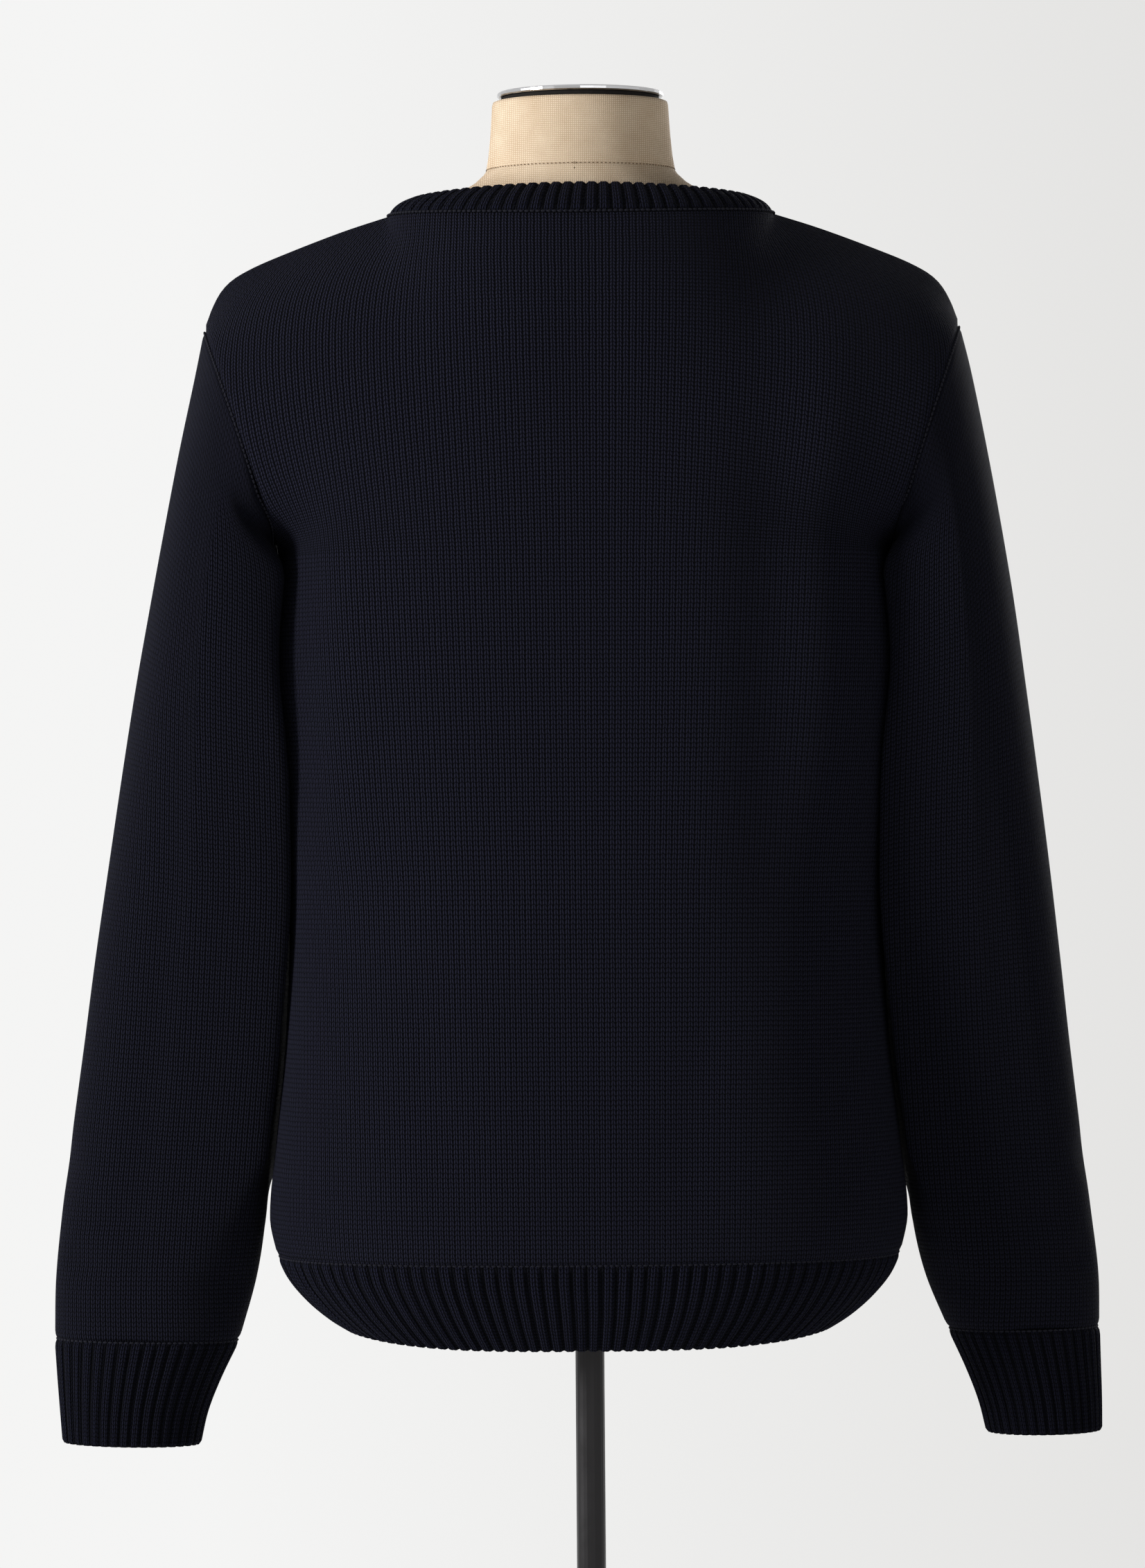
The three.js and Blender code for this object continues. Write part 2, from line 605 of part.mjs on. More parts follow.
// The covered torso follows the panels from inside, closes the armholes with flat plates, rounds
// under at the hips and rises to the neck seam.
function formTorso() {
  const body = [groups.get('body')];
  const startRow = 2;
  const inset = (grid) => grid.slice(startRow).map((row, r) => row.map((p, c) => {
    const rise = Math.max(r + startRow - LOWER_ROWS, 0) / UPPER_ROWS;
    const fromMiddle = Math.abs(c - HALF_COLUMNS);
    const underNeckband = rise === 1 && fromMiddle <= NECK_COLUMNS;
    const atArmhole = rise > 0 && rise < 1 && fromMiddle === HALF_COLUMNS;
    const relief = underNeckband || atArmhole ? FORM_EDGE_RELIEF : 0;
    const depth = FORM_BODY_INSET + (FORM_SHOULDER_INSET - FORM_BODY_INSET) * rise ** 0.7;
    return p.clone().add(inwardStep(p, body, depth + relief));
  }));
  const back = inset(backGrid);
  const front = inset(frontGrid);
  const skin = new Skin();
  for (let r = 0; r < back.length - 1; r += 1) {
    skin.strip(back[r + 1], back[r], false);
    skin.strip(front[r], front[r + 1], false);
  }

  // Armhole plates.
  const armRow = LOWER_ROWS - startRow;
  for (const column of [0, 2 * HALF_COLUMNS]) {
    const up = back.slice(armRow).map((row) => row[column]);
    const down = front.slice(armRow, -1).map((row) => row[column]).reverse();
    const ring = [...up, ...down.slice(0, -1)];
    skin.end(column === 0 ? ring.reverse() : ring, middleOf(ring));
  }

  // The hips round under to a flat bottom.
  let ring = bodyRing(back[0], front[0]);
  const middle = middleOf(ring);
  for (const { scale, height } of FORM_BOTTOM_RINGS) {
    const next = bodyRing(back[0], front[0]).map((p) => new THREE.Vector3(
      middle.x + (p.x - middle.x) * scale,
      middle.y + (p.y - middle.y) * scale,
      height,
    ));
    skin.strip(next, ring, true);
    ring = next;
  }
  skin.end(ring.reverse(), middleOf(ring));

  // The shoulders rise to the neck seam.
  const crown = back.length - 1;
  const neckSlice = (row) => row.slice(HALF_COLUMNS - NECK_COLUMNS, HALF_COLUMNS + NECK_COLUMNS + 1);
  const shoulders = bodyRing(neckSlice(back[crown]), neckSlice(front[crown]));
  const neck = shoulders.map((p, i) => {
    const angle = (2 * Math.PI * i) / shoulders.length;
    return new THREE.Vector3(
      FORM_NECK.side * Math.cos(angle),
      FORM_NECK.centreY + FORM_NECK.depth * Math.sin(angle),
      FORM_NECK.seamZ,
    );
  });
  ring = shoulders;
  for (const t of [0.25, 0.5, 0.75, 1]) {
    const next = shoulders.map((p, i) => {
      const gather = 1 - (1 - t) ** 2.2;
      const x = p.x + (neck[i].x - p.x) * gather;
      const y = p.y + (neck[i].y - p.y) * gather;
      return new THREE.Vector3(x, y, p.z + (neck[i].z - p.z) * t ** 2);
    });
    skin.strip(ring, next, true);
    ring = next;
  }
  skin.end(ring, middleOf(ring));
  return skin.mesh('form_torso', LINEN);
}

// The neck stands on the torso's seam and narrows a little to its top.
function formNeck() {
  const skin = new Skin();
  const points = 32;
  const bottom = FORM_NECK.seamZ + FLAT_GAP;
  const rings = [0, 0.3, 0.65, 1].map((t) => {
    const ring = [];
    for (let i = 0; i < points; i += 1) {
      const angle = (2 * Math.PI * i) / points;
      const ease = 1 - (1 - t) ** 2;
      const side = FORM_NECK.side + (FORM_NECK_TOP.side - FORM_NECK.side) * ease;
      const depth = FORM_NECK.depth + (FORM_NECK_TOP.depth - FORM_NECK.depth) * ease;
      const centreY = FORM_NECK.centreY + (FORM_NECK_TOP.centreY - FORM_NECK.centreY) * t;
      const height = bottom + (FORM_NECK_TOP.height - bottom) * t;
      ring.push(new THREE.Vector3(side * Math.cos(angle), centreY + depth * Math.sin(angle), height));
    }
    return ring;
  });
  for (let r = 0; r < rings.length - 1; r += 1) {
    skin.strip(rings[r], rings[r + 1], true);
  }
  skin.end(rings[0].slice().reverse(), middleOf(rings[0]));
  skin.end(rings[rings.length - 1], middleOf(rings[rings.length - 1]));
  return skin.mesh('form_neck', LINEN);
}

// A turned part from its profile of [radius, height] points, standing at a given place.
function turned(name, profile, material, { y = 0, segments = 40 } = {}) {
  const points = profile.map(([radius, height]) => new THREE.Vector2(radius, height));
  const geometry = new THREE.LatheGeometry(points, segments);
  geometry.rotateX(Math.PI / 2);
  const mesh = new THREE.Mesh(geometry, material);
  mesh.position.set(0, y, 0);
  mesh.name = name;
  return mesh;
}

sweaterOnForm.add(formTorso());
sweaterOnForm.add(formNeck());

const ringBottom = FORM_NECK_TOP.height + FLAT_GAP;
const ringTop = ringBottom + NECK_RING.height;
sweaterOnForm.add(turned('neck_ring', [
  [0, ringBottom],
  [NECK_RING.radius, ringBottom],
  [NECK_RING.radius, ringTop],
  [0, ringTop],
], BLACK_TRIM, { y: FORM_NECK_TOP.centreY }));

const capBottom = ringTop + FLAT_GAP;
const capTop = capBottom + NECK_CAP.height;
sweaterOnForm.add(turned('neck_cap', [
  [0, capBottom],
  [NECK_CAP.radius - NECK_CAP.rim, capBottom],
  [NECK_CAP.radius, capBottom + NECK_CAP.rim],
  [NECK_CAP.radius, capTop - NECK_CAP.rim],
  [NECK_CAP.radius - NECK_CAP.rim, capTop],
  [0, capTop],
], POLISHED_STEEL, { y: FORM_NECK_TOP.centreY }));

// ---------------------------------------------------------------- the stand

const formBottom = FORM_BOTTOM_RINGS[FORM_BOTTOM_RINGS.length - 1].height;
const plateTop = formBottom - FLAT_GAP;
const plateBottom = plateTop - SOCKET.plateHeight;
const socketBottom = plateBottom - SOCKET.height;
sweaterOnForm.add(turned('pole_socket', [
  [0, socketBottom],
  [SOCKET.radius - 1, socketBottom],
  [SOCKET.radius, socketBottom + 1],
  [SOCKET.radius, plateBottom],
  [SOCKET.plateRadius, plateBottom],
  [SOCKET.plateRadius, plateTop],
  [0, plateTop],
], DARK_STEEL));

sweaterOnForm.add(turned('pole', [
  [0, POLE.bottom + FLAT_GAP],
  [POLE.radius, POLE.bottom + FLAT_GAP],
  [POLE.radius, socketBottom - FLAT_GAP],
  [0, socketBottom - FLAT_GAP],
], DARK_STEEL, { segments: 24 }));

sweaterOnForm.add(turned('base', [
  [0, 0],
  [BASE.radius - 2, 0],
  [BASE.radius, 2],
  [BASE.radius, BASE.edge],
  [BASE.radius - 3, BASE.edge + 2],
  [BASE.hub + 6, BASE.crown - 1],
  [BASE.hub, BASE.crown],
  [BASE.hubRadius, BASE.crown + BASE.hubHeight - 1],
  [BASE.hubRadius - 1, POLE.bottom],
  [0, POLE.bottom],
], DARK_STEEL, { segments: 64 }));

export default sweaterOnForm;
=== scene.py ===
import math
import bmesh
import bpy
import numpy as np
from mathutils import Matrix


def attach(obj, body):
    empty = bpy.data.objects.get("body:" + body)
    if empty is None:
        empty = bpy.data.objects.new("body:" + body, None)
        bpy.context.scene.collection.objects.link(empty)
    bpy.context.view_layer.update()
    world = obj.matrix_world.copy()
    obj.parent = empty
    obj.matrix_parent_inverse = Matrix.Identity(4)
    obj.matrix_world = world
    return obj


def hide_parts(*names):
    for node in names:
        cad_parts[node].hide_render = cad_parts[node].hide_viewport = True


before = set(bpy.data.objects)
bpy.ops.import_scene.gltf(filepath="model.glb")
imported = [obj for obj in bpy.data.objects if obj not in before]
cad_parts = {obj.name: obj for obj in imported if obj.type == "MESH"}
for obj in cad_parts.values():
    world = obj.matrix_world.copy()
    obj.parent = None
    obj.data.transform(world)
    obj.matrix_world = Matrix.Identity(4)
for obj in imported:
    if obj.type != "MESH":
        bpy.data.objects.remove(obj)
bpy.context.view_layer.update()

# ------------------------------------------------------------------ camera
# A long lens level with the middle of the sweater, looking at the wearer's back.
CAMERA_DISTANCE = 4.0
CAMERA_HEIGHT = 1.0086
VIEW_HEIGHT = 0.973
CAMERA_ROLL = math.radians(0.45)
camera_data = bpy.data.cameras.new("camera")
camera_data.sensor_fit = "VERTICAL"
camera_data.sensor_height = 36.0
camera_data.lens = 36.0 * CAMERA_DISTANCE / VIEW_HEIGHT
camera = bpy.data.objects.new("camera", camera_data)
camera.location = (0.008, CAMERA_DISTANCE, CAMERA_HEIGHT)
camera.rotation_euler = (math.pi / 2, CAMERA_ROLL, math.pi)
bpy.context.scene.collection.objects.link(camera)
bpy.context.scene.camera = camera
bpy.context.scene.view_settings.view_transform = "Standard"

# ------------------------------------------------------------------ studio
# A pale floor that keeps the shadow near the stand, lightened there by a painted glow, and fades into a pale
# surround with a painted light falloff, with one soft key light on the wearer's left, a weak fill, one light
# in front and a little light from all round.
SURROUND = (0.91, 0.91, 0.905, 1.0)


def area_light(name, place, aim, size, power):
    data = bpy.data.lights.new(name, "AREA")
    data.shape = "DISK"
    data.size = size
    data.energy = power
    light = bpy.data.objects.new(name, data)
    light.location = place
    direction = np.array(aim) - np.array(place)
    yaw = math.atan2(direction[0], -direction[1])
    pitch = math.atan2(math.hypot(direction[0], direction[1]), -direction[2])
    light.rotation_euler = (pitch, 0.0, yaw + math.pi)
    bpy.context.scene.collection.objects.link(light)


area_light("key", (3.8, 1.75, 1.9), (0.0, 0.0, 1.0), 1.3, 205.0)
area_light("fill", (-1.2, 3.8, 1.6), (0.0, 0.0, 1.0), 1.6, 9.0)
area_light("front", (-1.6, -3.4, 1.9), (0.0, 0.0, 1.0), 2.0, 60.0)

def surround_colour(nodes, links, vector, from_y):
    """Painted light falloff: a paler left side and a slightly greyer right side, even from top to bottom."""
    split = nodes.new("ShaderNodeSeparateXYZ")
    links.new(vector, split.inputs[0])
    away = nodes.new("ShaderNodeMath")
    away.operation = "SUBTRACT"
    away.inputs[0].default_value = from_y
    links.new(split.outputs["Y"], away.inputs[1])
    sideways = nodes.new("ShaderNodeMath")
    sideways.operation = "DIVIDE"
    links.new(split.outputs["X"], sideways.inputs[0])
    links.new(away.outputs[0], sideways.inputs[1])
    share = nodes.new("ShaderNodeMapRange")
    share.inputs["From Min"].default_value = -0.095
    share.inputs["From Max"].default_value = 0.06
    links.new(sideways.outputs[0], share.inputs["Value"])
    colour = nodes.new("ShaderNodeMix")
    colour.data_type = "RGBA"
    colour.inputs["A"].default_value = (0.775, 0.77, 0.76, 1.0)
    colour.inputs["B"].default_value = SURROUND
    links.new(share.outputs[0], colour.inputs["Factor"])
    return colour.outputs["Result"]


world = bpy.data.worlds.new("surround")
world.use_nodes = True
bpy.context.scene.world = world
nodes, links = world.node_tree.nodes, world.node_tree.links
nodes.clear()
path = nodes.new("ShaderNodeLightPath")
seen = nodes.new("ShaderNodeBackground")
way = nodes.new("ShaderNodeTexCoord")
# The surround seen by the camera carries a painted light falloff from left to right.
links.new(surround_colour(nodes, links, way.outputs["Generated"], 0.0), seen.inputs["Color"])
ambient = nodes.new("ShaderNodeBackground")
ambient.inputs["Color"].default_value = (0.9, 0.95, 1.0, 1.0)
ambient.inputs["Strength"].default_value = 0.075
either = nodes.new("ShaderNodeMath")
either.operation = "MAXIMUM"
mix = nodes.new("ShaderNodeMixShader")
out = nodes.new("ShaderNodeOutputWorld")
links.new(path.outputs["Is Camera Ray"], either.inputs[0])
links.new(path.outputs["Is Glossy Ray"], either.inputs[1])
links.new(either.outputs[0], mix.inputs["Fac"])
links.new(ambient.outputs[0], mix.inputs[1])
links.new(seen.outputs[0], mix.inputs[2])
links.new(mix.outputs[0], out.inputs["Surface"])

floor_mesh = bpy.data.meshes.new("floor")
FLOOR_REACH = 60.0
floor_mesh.from_pydata(
    [(-FLOOR_REACH, -FLOOR_REACH, 0), (FLOOR_REACH, -FLOOR_REACH, 0),
     (FLOOR_REACH, FLOOR_REACH, 0), (-FLOOR_REACH, FLOOR_REACH, 0)], [], [(0, 1, 2, 3)])
floor = bpy.data.objects.new("floor", floor_mesh)
bpy.context.scene.collection.objects.link(floor)
floor_material = bpy.data.materials.new("pale_floor")
floor_material.use_nodes = True
nodes, links = floor_material.node_tree.nodes, floor_material.node_tree.links
nodes.clear()
place = nodes.new("ShaderNodeTexCoord")
distance = nodes.new("ShaderNodeVectorMath")
distance.operation = "LENGTH"
fade = nodes.new("ShaderNodeMapRange")
fade.inputs["From Min"].default_value = 0.9
fade.inputs["From Max"].default_value = 2.6
# Even near the stand the floor is 45 per cent glow, painted light that lightens its shadow.
fade.inputs["To Min"].default_value = 0.45
lit = nodes.new("ShaderNodeBsdfDiffuse")
lit.inputs["Color"].default_value = (0.8, 0.8, 0.8, 1.0)
even = nodes.new("ShaderNodeEmission")
# The floor's glow takes the surround's painted light falloff.
links.new(surround_colour(nodes, links, place.outputs["Object"], CAMERA_DISTANCE), even.inputs["Color"])
mix = nodes.new("ShaderNodeMixShader")
out = nodes.new("ShaderNodeOutputMaterial")
links.new(place.outputs["Object"], distance.inputs[0])
links.new(distance.outputs["Value"], fade.inputs["Value"])
links.new(fade.outputs[0], mix.inputs["Fac"])
links.new(lit.outputs[0], mix.inputs[1])
links.new(even.outputs[0], mix.inputs[2])
links.new(mix.outputs[0], out.inputs["Surface"])
floor_mesh.materials.append(floor_material)

# ------------------------------------------------------------------ back and front panels
# Plain stocking stitch in thick dark navy wool, knitted to shape and linked at the sides,
# shoulders and armholes. Both panels hang from the form's shoulders and bag over the hem.
MM = 0.001
CLOTH = 2.6 * MM
WALE = 3.3 * MM
COURSE = 2.9 * MM
KNIT_HEIGHTS = [0.718, 0.95, 1.15, 1.33]
BODY_WALES = [3.25 * MM, 3.4 * MM, 3.7 * MM, 4.15 * MM]
BODY_COURSES = [2.86 * MM, 3.0 * MM, 2.7 * MM, 2.3 * MM]
BODY_SECTIONS = {
    "height": [718, 742, 790, 850, 930, 1000, 1080, 1150],
    "side": [193, 197.5, 193, 187, 184, 189, 196, 189],
    "back": [117, 120, 119, 115, 111, 112, 116, 119],
    "front": [112, 115, 114, 112, 111, 115, 121, 124],
    "squareness": [2.5, 2.5, 2.5, 2.5, 2.5, 2.6, 2.7, 2.8],
}
CENTRE_LINES = {
    "step": [0, 0.2, 0.4, 0.6, 0.8, 1],
    "back_y": [119, 122, 123, 119, 107, 85],
    "back_z": [1150, 1190, 1232, 1276, 1320, 1357],
    "front_y": [124, 123, 119, 110, 97, 80],
    "front_z": [1150, 1181, 1213, 1244, 1273, 1298],
    "squareness": [2.8, 2.5, 2.3, 2.2, 2.2, 2.2],
}
SHOULDER_SEAM = [
    (120, 1362), (148, 1353), (180, 1341), (205, 1330.5), (220, 1321), (229, 1308), (234, 1291),
]
ARMHOLE = {"x": 211.5, "z": 1220.5, "lean": 22.5, "half": 70.5, "back": 84, "front": 80, "hollow": 3}
NECK_SEAM = {"side": 120, "side_z": 1362, "back": 85, "back_z": 1357, "front": 80, "front_z": 1298}
BODY_FOLDS = [
    {"x": 178, "z": 1085, "width": 22, "length": 110, "lean": 0.0, "depth": 4.0},
    {"x": 150, "z": 1070, "width": 20, "length": 120, "lean": 0.0, "depth": -3.0},
    {"x": -112, "z": 1075, "width": 24, "length": 160, "lean": 0.0, "depth": 3.5},
    {"x": -150, "z": 900, "width": 22, "length": 110, "lean": 0.0, "depth": 3.0},
    {"x": -150, "z": 1130, "width": 20, "length": 150, "lean": 0.0, "depth": -2.5},
    {"x": 0, "z": 1290, "width": 26, "length": 55, "lean": 0.0, "depth": 1.6},
    {"x": 96, "z": 830, "width": 18, "length": 70, "lean": 0.12, "depth": 1.2},
    {"x": -60, "z": 800, "width": 16, "length": 60, "lean": -0.1, "depth": 1.1},
]
LOWER_ROWS, UPPER_ROWS, HALF_COLUMNS = 96, 84, 64


def smooth(keys, values, at):
    keys, values = np.array(keys, float), np.array(values, float)
    slopes = np.gradient(values, keys) if len(keys) > 2 else np.zeros_like(values)
    for k in range(1, len(keys) - 1):
        slopes[k] = (values[k + 1] - values[k - 1]) / (keys[k + 1] - keys[k - 1])
    k = np.clip(np.searchsorted(keys, at, "right") - 1, 0, len(keys) - 2)
    span = keys[k + 1] - keys[k]
    t = np.clip((at - keys[k]) / span, 0, 1)
    start = (1 + 2 * t) * (1 - t) ** 2 * values[k] + t * (1 - t) ** 2 * slopes[k] * span
    end = t * t * (3 - 2 * t) * values[k + 1] - t * t * (1 - t) * slopes[k + 1] * span
    return start + end


def evenly(points, count):
    lengths = np.concatenate([[0], np.cumsum(np.linalg.norm(np.diff(points, axis=0), axis=1))])
    at = np.linspace(0, lengths[-1], count + 1)
    return np.stack([np.interp(at, lengths, points[:, k]) for k in range(points.shape[1])], axis=1)


def armhole_point(step, to_back):
    angle = math.pi * (1 - step)
    x = ARMHOLE["x"] + ARMHOLE["lean"] * math.cos(angle) - ARMHOLE["hollow"] * math.sin(angle) ** 2
    depth = ARMHOLE["back"] if to_back else -ARMHOLE["front"]
    return np.array([x, depth * math.sin(angle), ARMHOLE["z"] + ARMHOLE["half"] * math.cos(angle)])


def neckline_point(line, turn, to_back):
    angle = turn * math.pi / 2
    depth = line["back"] if to_back else -line["front"]
    middle_z = line["back_z"] if to_back else line["front_z"]
    drop = (middle_z - line["side_z"]) * math.cos(angle) ** (2 if to_back else 1.5)
    return np.array([line["side"] * math.sin(angle), depth * math.cos(angle), line["side_z"] + drop])


def spline(points, per_span=24):
    p = np.array(points, float)
    p = np.vstack([2 * p[0] - p[1], p, 2 * p[-1] - p[-2]])
    t = np.linspace(0, 1, per_span, endpoint=False)[:, None]
    spans = []
    for k in range(1, len(p) - 2):
        a, b, c, d = p[k - 1], p[k], p[k + 1], p[k + 2]
        spans.append(0.5 * (2 * b + (c - a) * t + (2 * a - 5 * b + 4 * c - d) * t ** 2
                            + (3 * b - a - 3 * c + d) * t ** 3))
    return np.vstack(spans + [p[-2:-1]])


def quarter_section(depth, end, squareness):
    share = min(abs(end[1]) / depth, 0.999)
    reach = end[0] / (1 - share ** squareness) ** (1 / squareness)
    turn = math.atan2((end[0] / reach) ** (squareness / 2), share ** (squareness / 2))
    t = np.linspace(0, 1, 400) * turn
    power = 2 / squareness
    curve = np.stack([reach * np.sin(t) ** power, depth * np.clip(np.cos(t), 0, 1) ** power], axis=1)
    return evenly(curve, HALF_COLUMNS)


def top_edge(to_back):
    half = HALF_COLUMNS // 2
    neck = np.array([neckline_point(NECK_SEAM, k / half, to_back) for k in range(half + 1)])
    seam = spline([(x, 0, z) for x, z in SHOULDER_SEAM])
    return np.vstack([neck, evenly(seam, HALF_COLUMNS - half)[1:]])


def softened(values, width, fraction):
    """Rounds off corners along a row of points, leaving its outer end where it is."""
    if width < 0.3:
        return values
    reach = int(3 * width) + 1
    kernel = np.exp(-0.5 * (np.arange(-reach, reach + 1) / width) ** 2)
    kernel /= kernel.sum()
    padded = np.concatenate([values[reach:0:-1] * np.array([-1, 1, 1]), values,
                             2 * values[-1] - values[-2:-reach - 2:-1]])
    soft = np.stack([np.convolve(padded[:, k], kernel, "valid") for k in range(3)], axis=1)
    return soft + (values[-1] - soft[-1]) * fraction[:, None] ** 6


def panel_points(to_back):
    sign = 1 if to_back else -1
    side = "back" if to_back else "front"
    rows = []
    for height in np.linspace(718, 1150, LOWER_ROWS, endpoint=False):
        read = {k: smooth(BODY_SECTIONS["height"], BODY_SECTIONS[k], height)
                for k in (side, "side", "squareness")}
        flat = quarter_section(read[side], (read["side"], 0), read["squareness"])
        rows.append(np.column_stack([flat[:, 0], sign * flat[:, 1], np.full(len(flat), height)]))
    top = top_edge(to_back)
    last = {k: CENTRE_LINES[k][-1] for k in (side + "_y", side + "_z")}
    tip = armhole_point(1, to_back)
    across = (np.arange(HALF_COLUMNS + 1) / HALF_COLUMNS) ** 2
    fraction = np.arange(HALF_COLUMNS + 1) / HALF_COLUMNS
    for step in np.linspace(0, 1, UPPER_ROWS + 1):
        read = {k: smooth(CENTRE_LINES["step"], CENTRE_LINES[k], step)
                for k in (side + "_y", side + "_z", "squareness")}
        end = armhole_point(step, to_back)
        flat = quarter_section(read[side + "_y"], end, read["squareness"])
        crest = quarter_section(last[side + "_y"], tip, read["squareness"])
        blend = step ** 4
        width = 9.0 * max(1 - step, 0.0) ** 0.6
        edge = np.stack([
            top[:, 0] - crest[:, 0],
            top[:, 1] - sign * crest[:, 1],
            top[:, 2] - last[side + "_z"] - (tip[2] - last[side + "_z"]) * across], axis=1)
        edge = softened(edge, width, fraction)
        middle_z = read[side + "_z"]
        rows.append(np.column_stack([
            flat[:, 0] + blend * edge[:, 0],
            sign * flat[:, 1] + blend * edge[:, 1],
            middle_z + (end[2] - middle_z) * across + blend * edge[:, 2]]))
    half = np.array(rows)
    mirrored = half[:, :0:-1] * np.array([-1, 1, 1])
    return np.concatenate([mirrored, half], axis=1) * MM


def fold_depth(x, z, folds):
    depth = np.zeros_like(x)
    for fold in folds:
        along = (z / MM - fold["z"]) / fold["length"]
        across = (x / MM - fold["x"] - fold["lean"] * (z / MM - fold["z"])) / fold["width"]
        depth += fold["depth"] * np.exp(-across ** 2 - along ** 4)
    return depth * MM


def normals_of(points, closed):
    if closed:
        across = np.roll(points, -1, axis=1) - np.roll(points, 1, axis=1)
    else:
        across = np.gradient(points, axis=1)
    normal = np.cross(across, np.gradient(points, axis=0))
    return normal / np.maximum(np.linalg.norm(normal, axis=2, keepdims=True), 1e-12)


def outward(points, closed, middle):
    normal = normals_of(points, closed)
    facing = np.sum(normal * (points - middle), axis=2).sum()
    return normal if facing > 0 else -normal


def cloth_object(name, points, normal, closed, uv, thickness, material, rib=None):
    rows, columns = points.shape[:2]
    inner = points - normal * thickness
    vertices = np.concatenate([points.reshape(-1, 3), inner.reshape(-1, 3)])
    r, c = np.meshgrid(np.arange(rows - 1), np.arange(columns if closed else columns - 1), indexing="ij")
    n = (c + 1) % columns
    outer_faces = np.stack(
        [r * columns + c, r * columns + n, (r + 1) * columns + n, (r + 1) * columns + c], -1)
    outer_faces = outer_faces.reshape(-1, 4)
    shift = rows * columns
    faces = [outer_faces, outer_faces[:, ::-1] + shift]
    edge = np.arange(columns if closed else columns - 1)
    after = (edge + 1) % columns
    top = (rows - 1) * columns
    faces.append(np.stack([edge + shift, after + shift, after, edge], -1))
    faces.append(np.stack([top + edge, top + after, top + after + shift, top + edge + shift], -1))
    if not closed:
        up = np.arange(rows - 1) * columns
        faces.append(np.stack([up, up + columns, up + columns + shift, up + shift], -1))
        far = up + columns - 1
        faces.append(np.stack([far + shift, far + columns + shift, far + columns, far], -1))
    faces = np.concatenate(faces)
    first = points[faces[0] // columns, faces[0] % columns]
    turn = np.cross(first[1] - first[0], first[2] - first[1])
    if np.dot(turn, normal[faces[0][0] // columns, faces[0][0] % columns]) < 0:
        faces = faces[:, ::-1]
    mesh = bpy.data.meshes.new(name)
    mesh.from_pydata(vertices.tolist(), [], faces.tolist())
    layer = mesh.uv_layers.new(name="stitches")
    corner = np.empty(len(mesh.loops), dtype=np.int32)
    mesh.loops.foreach_get("vertex_index", corner)
    flat_uv = np.concatenate([uv.reshape(-1, 2)] * 2)[corner]
    if closed:
        # The last column's faces close the ring, so their far corners run on past the first column.
        face_of = np.repeat(np.arange(len(faces)), 4)
        column_of = corner % shift % columns
        by_face = column_of.reshape(-1, 4)
        wraps = (by_face.max(axis=1) == columns - 1) & (by_face.min(axis=1) == 0)
        late = wraps[face_of] & (column_of == 0)
        period = 2 * uv[:, -1, 0] - uv[:, -2, 0]
        flat_uv[late, 0] = period[(corner % shift)[late] // columns]
    layer.data.foreach_set("uv", flat_uv.ravel())
    if rib is not None:
        attribute = mesh.attributes.new("rib", "FLOAT", "POINT")
        attribute.data.foreach_set("value", np.concatenate([rib.ravel()] * 2).astype(np.float32))
    mesh.shade_smooth()
    mesh.materials.append(material)
    piece = bpy.data.objects.new(name, mesh)
    bpy.context.scene.collection.objects.link(piece)
    return piece


def math_node(nodes, links, kind, first, second=None, clamp=False):
    node = nodes.new("ShaderNodeMath")
    node.operation = kind
    node.use_clamp = clamp
    for socket, value in zip(node.inputs, (first, second)):
        if value is None:
            continue
        if isinstance(value, (int, float)):
            socket.default_value = value
        else:
            links.new(value, socket)
    return node.outputs[0]


# The stitch pattern: two slanting legs a wale, one a course, with a little unevenness in the yarn and
# painted shade in the gaps between the stitches.
stitch_group = bpy.data.node_groups.new("stocking_stitch", "ShaderNodeTree")
face = stitch_group.interface
face.new_socket("Stitches", in_out="INPUT", socket_type="NodeSocketVector")
face.new_socket("Height", in_out="OUTPUT", socket_type="NodeSocketFloat")
face.new_socket("Yarn", in_out="OUTPUT", socket_type="NodeSocketFloat")
nodes, links = stitch_group.nodes, stitch_group.links
enter = nodes.new("NodeGroupInput")
leave = nodes.new("NodeGroupOutput")
wobble = nodes.new("ShaderNodeTexNoise")
wobble.inputs["Scale"].default_value = 0.35
wobble.inputs["Detail"].default_value = 2.0
links.new(enter.outputs[0], wobble.inputs["Vector"])
pulled = nodes.new("ShaderNodeVectorMath")
pulled.operation = "MULTIPLY_ADD"
pulled.inputs[1].default_value = (0.22, 0.35, 0.0)
links.new(wobble.outputs["Color"], pulled.inputs[0])
links.new(enter.outputs[0], pulled.inputs[2])
split = nodes.new("ShaderNodeSeparateXYZ")
links.new(pulled.outputs[0], split.inputs[0])
in_wale = math_node(nodes, links, "FRACT", split.outputs[0])
from_middle = math_node(nodes, links, "ABSOLUTE", math_node(nodes, links, "SUBTRACT", in_wale, 0.5))
across = math_node(nodes, links, "MULTIPLY", from_middle, 2.0)
leg = math_node(nodes, links, "ABSOLUTE", math_node(nodes, links, "SUBTRACT",
                math_node(nodes, links, "MULTIPLY", across, 2.0), 1.0))
leg = math_node(nodes, links, "SUBTRACT", 1.0, math_node(nodes, links, "MULTIPLY", leg, leg))
slant = math_node(nodes, links, "MULTIPLY", across, 0.36)
row = math_node(nodes, links, "FRACT", math_node(nodes, links, "ADD", split.outputs[1], slant))
row = math_node(nodes, links, "SINE", math_node(nodes, links, "MULTIPLY", row, math.pi))
row = math_node(nodes, links, "ADD", math_node(nodes, links, "MULTIPLY", row, 0.85), 0.15)
stitch = math_node(nodes, links, "MULTIPLY", leg, row)
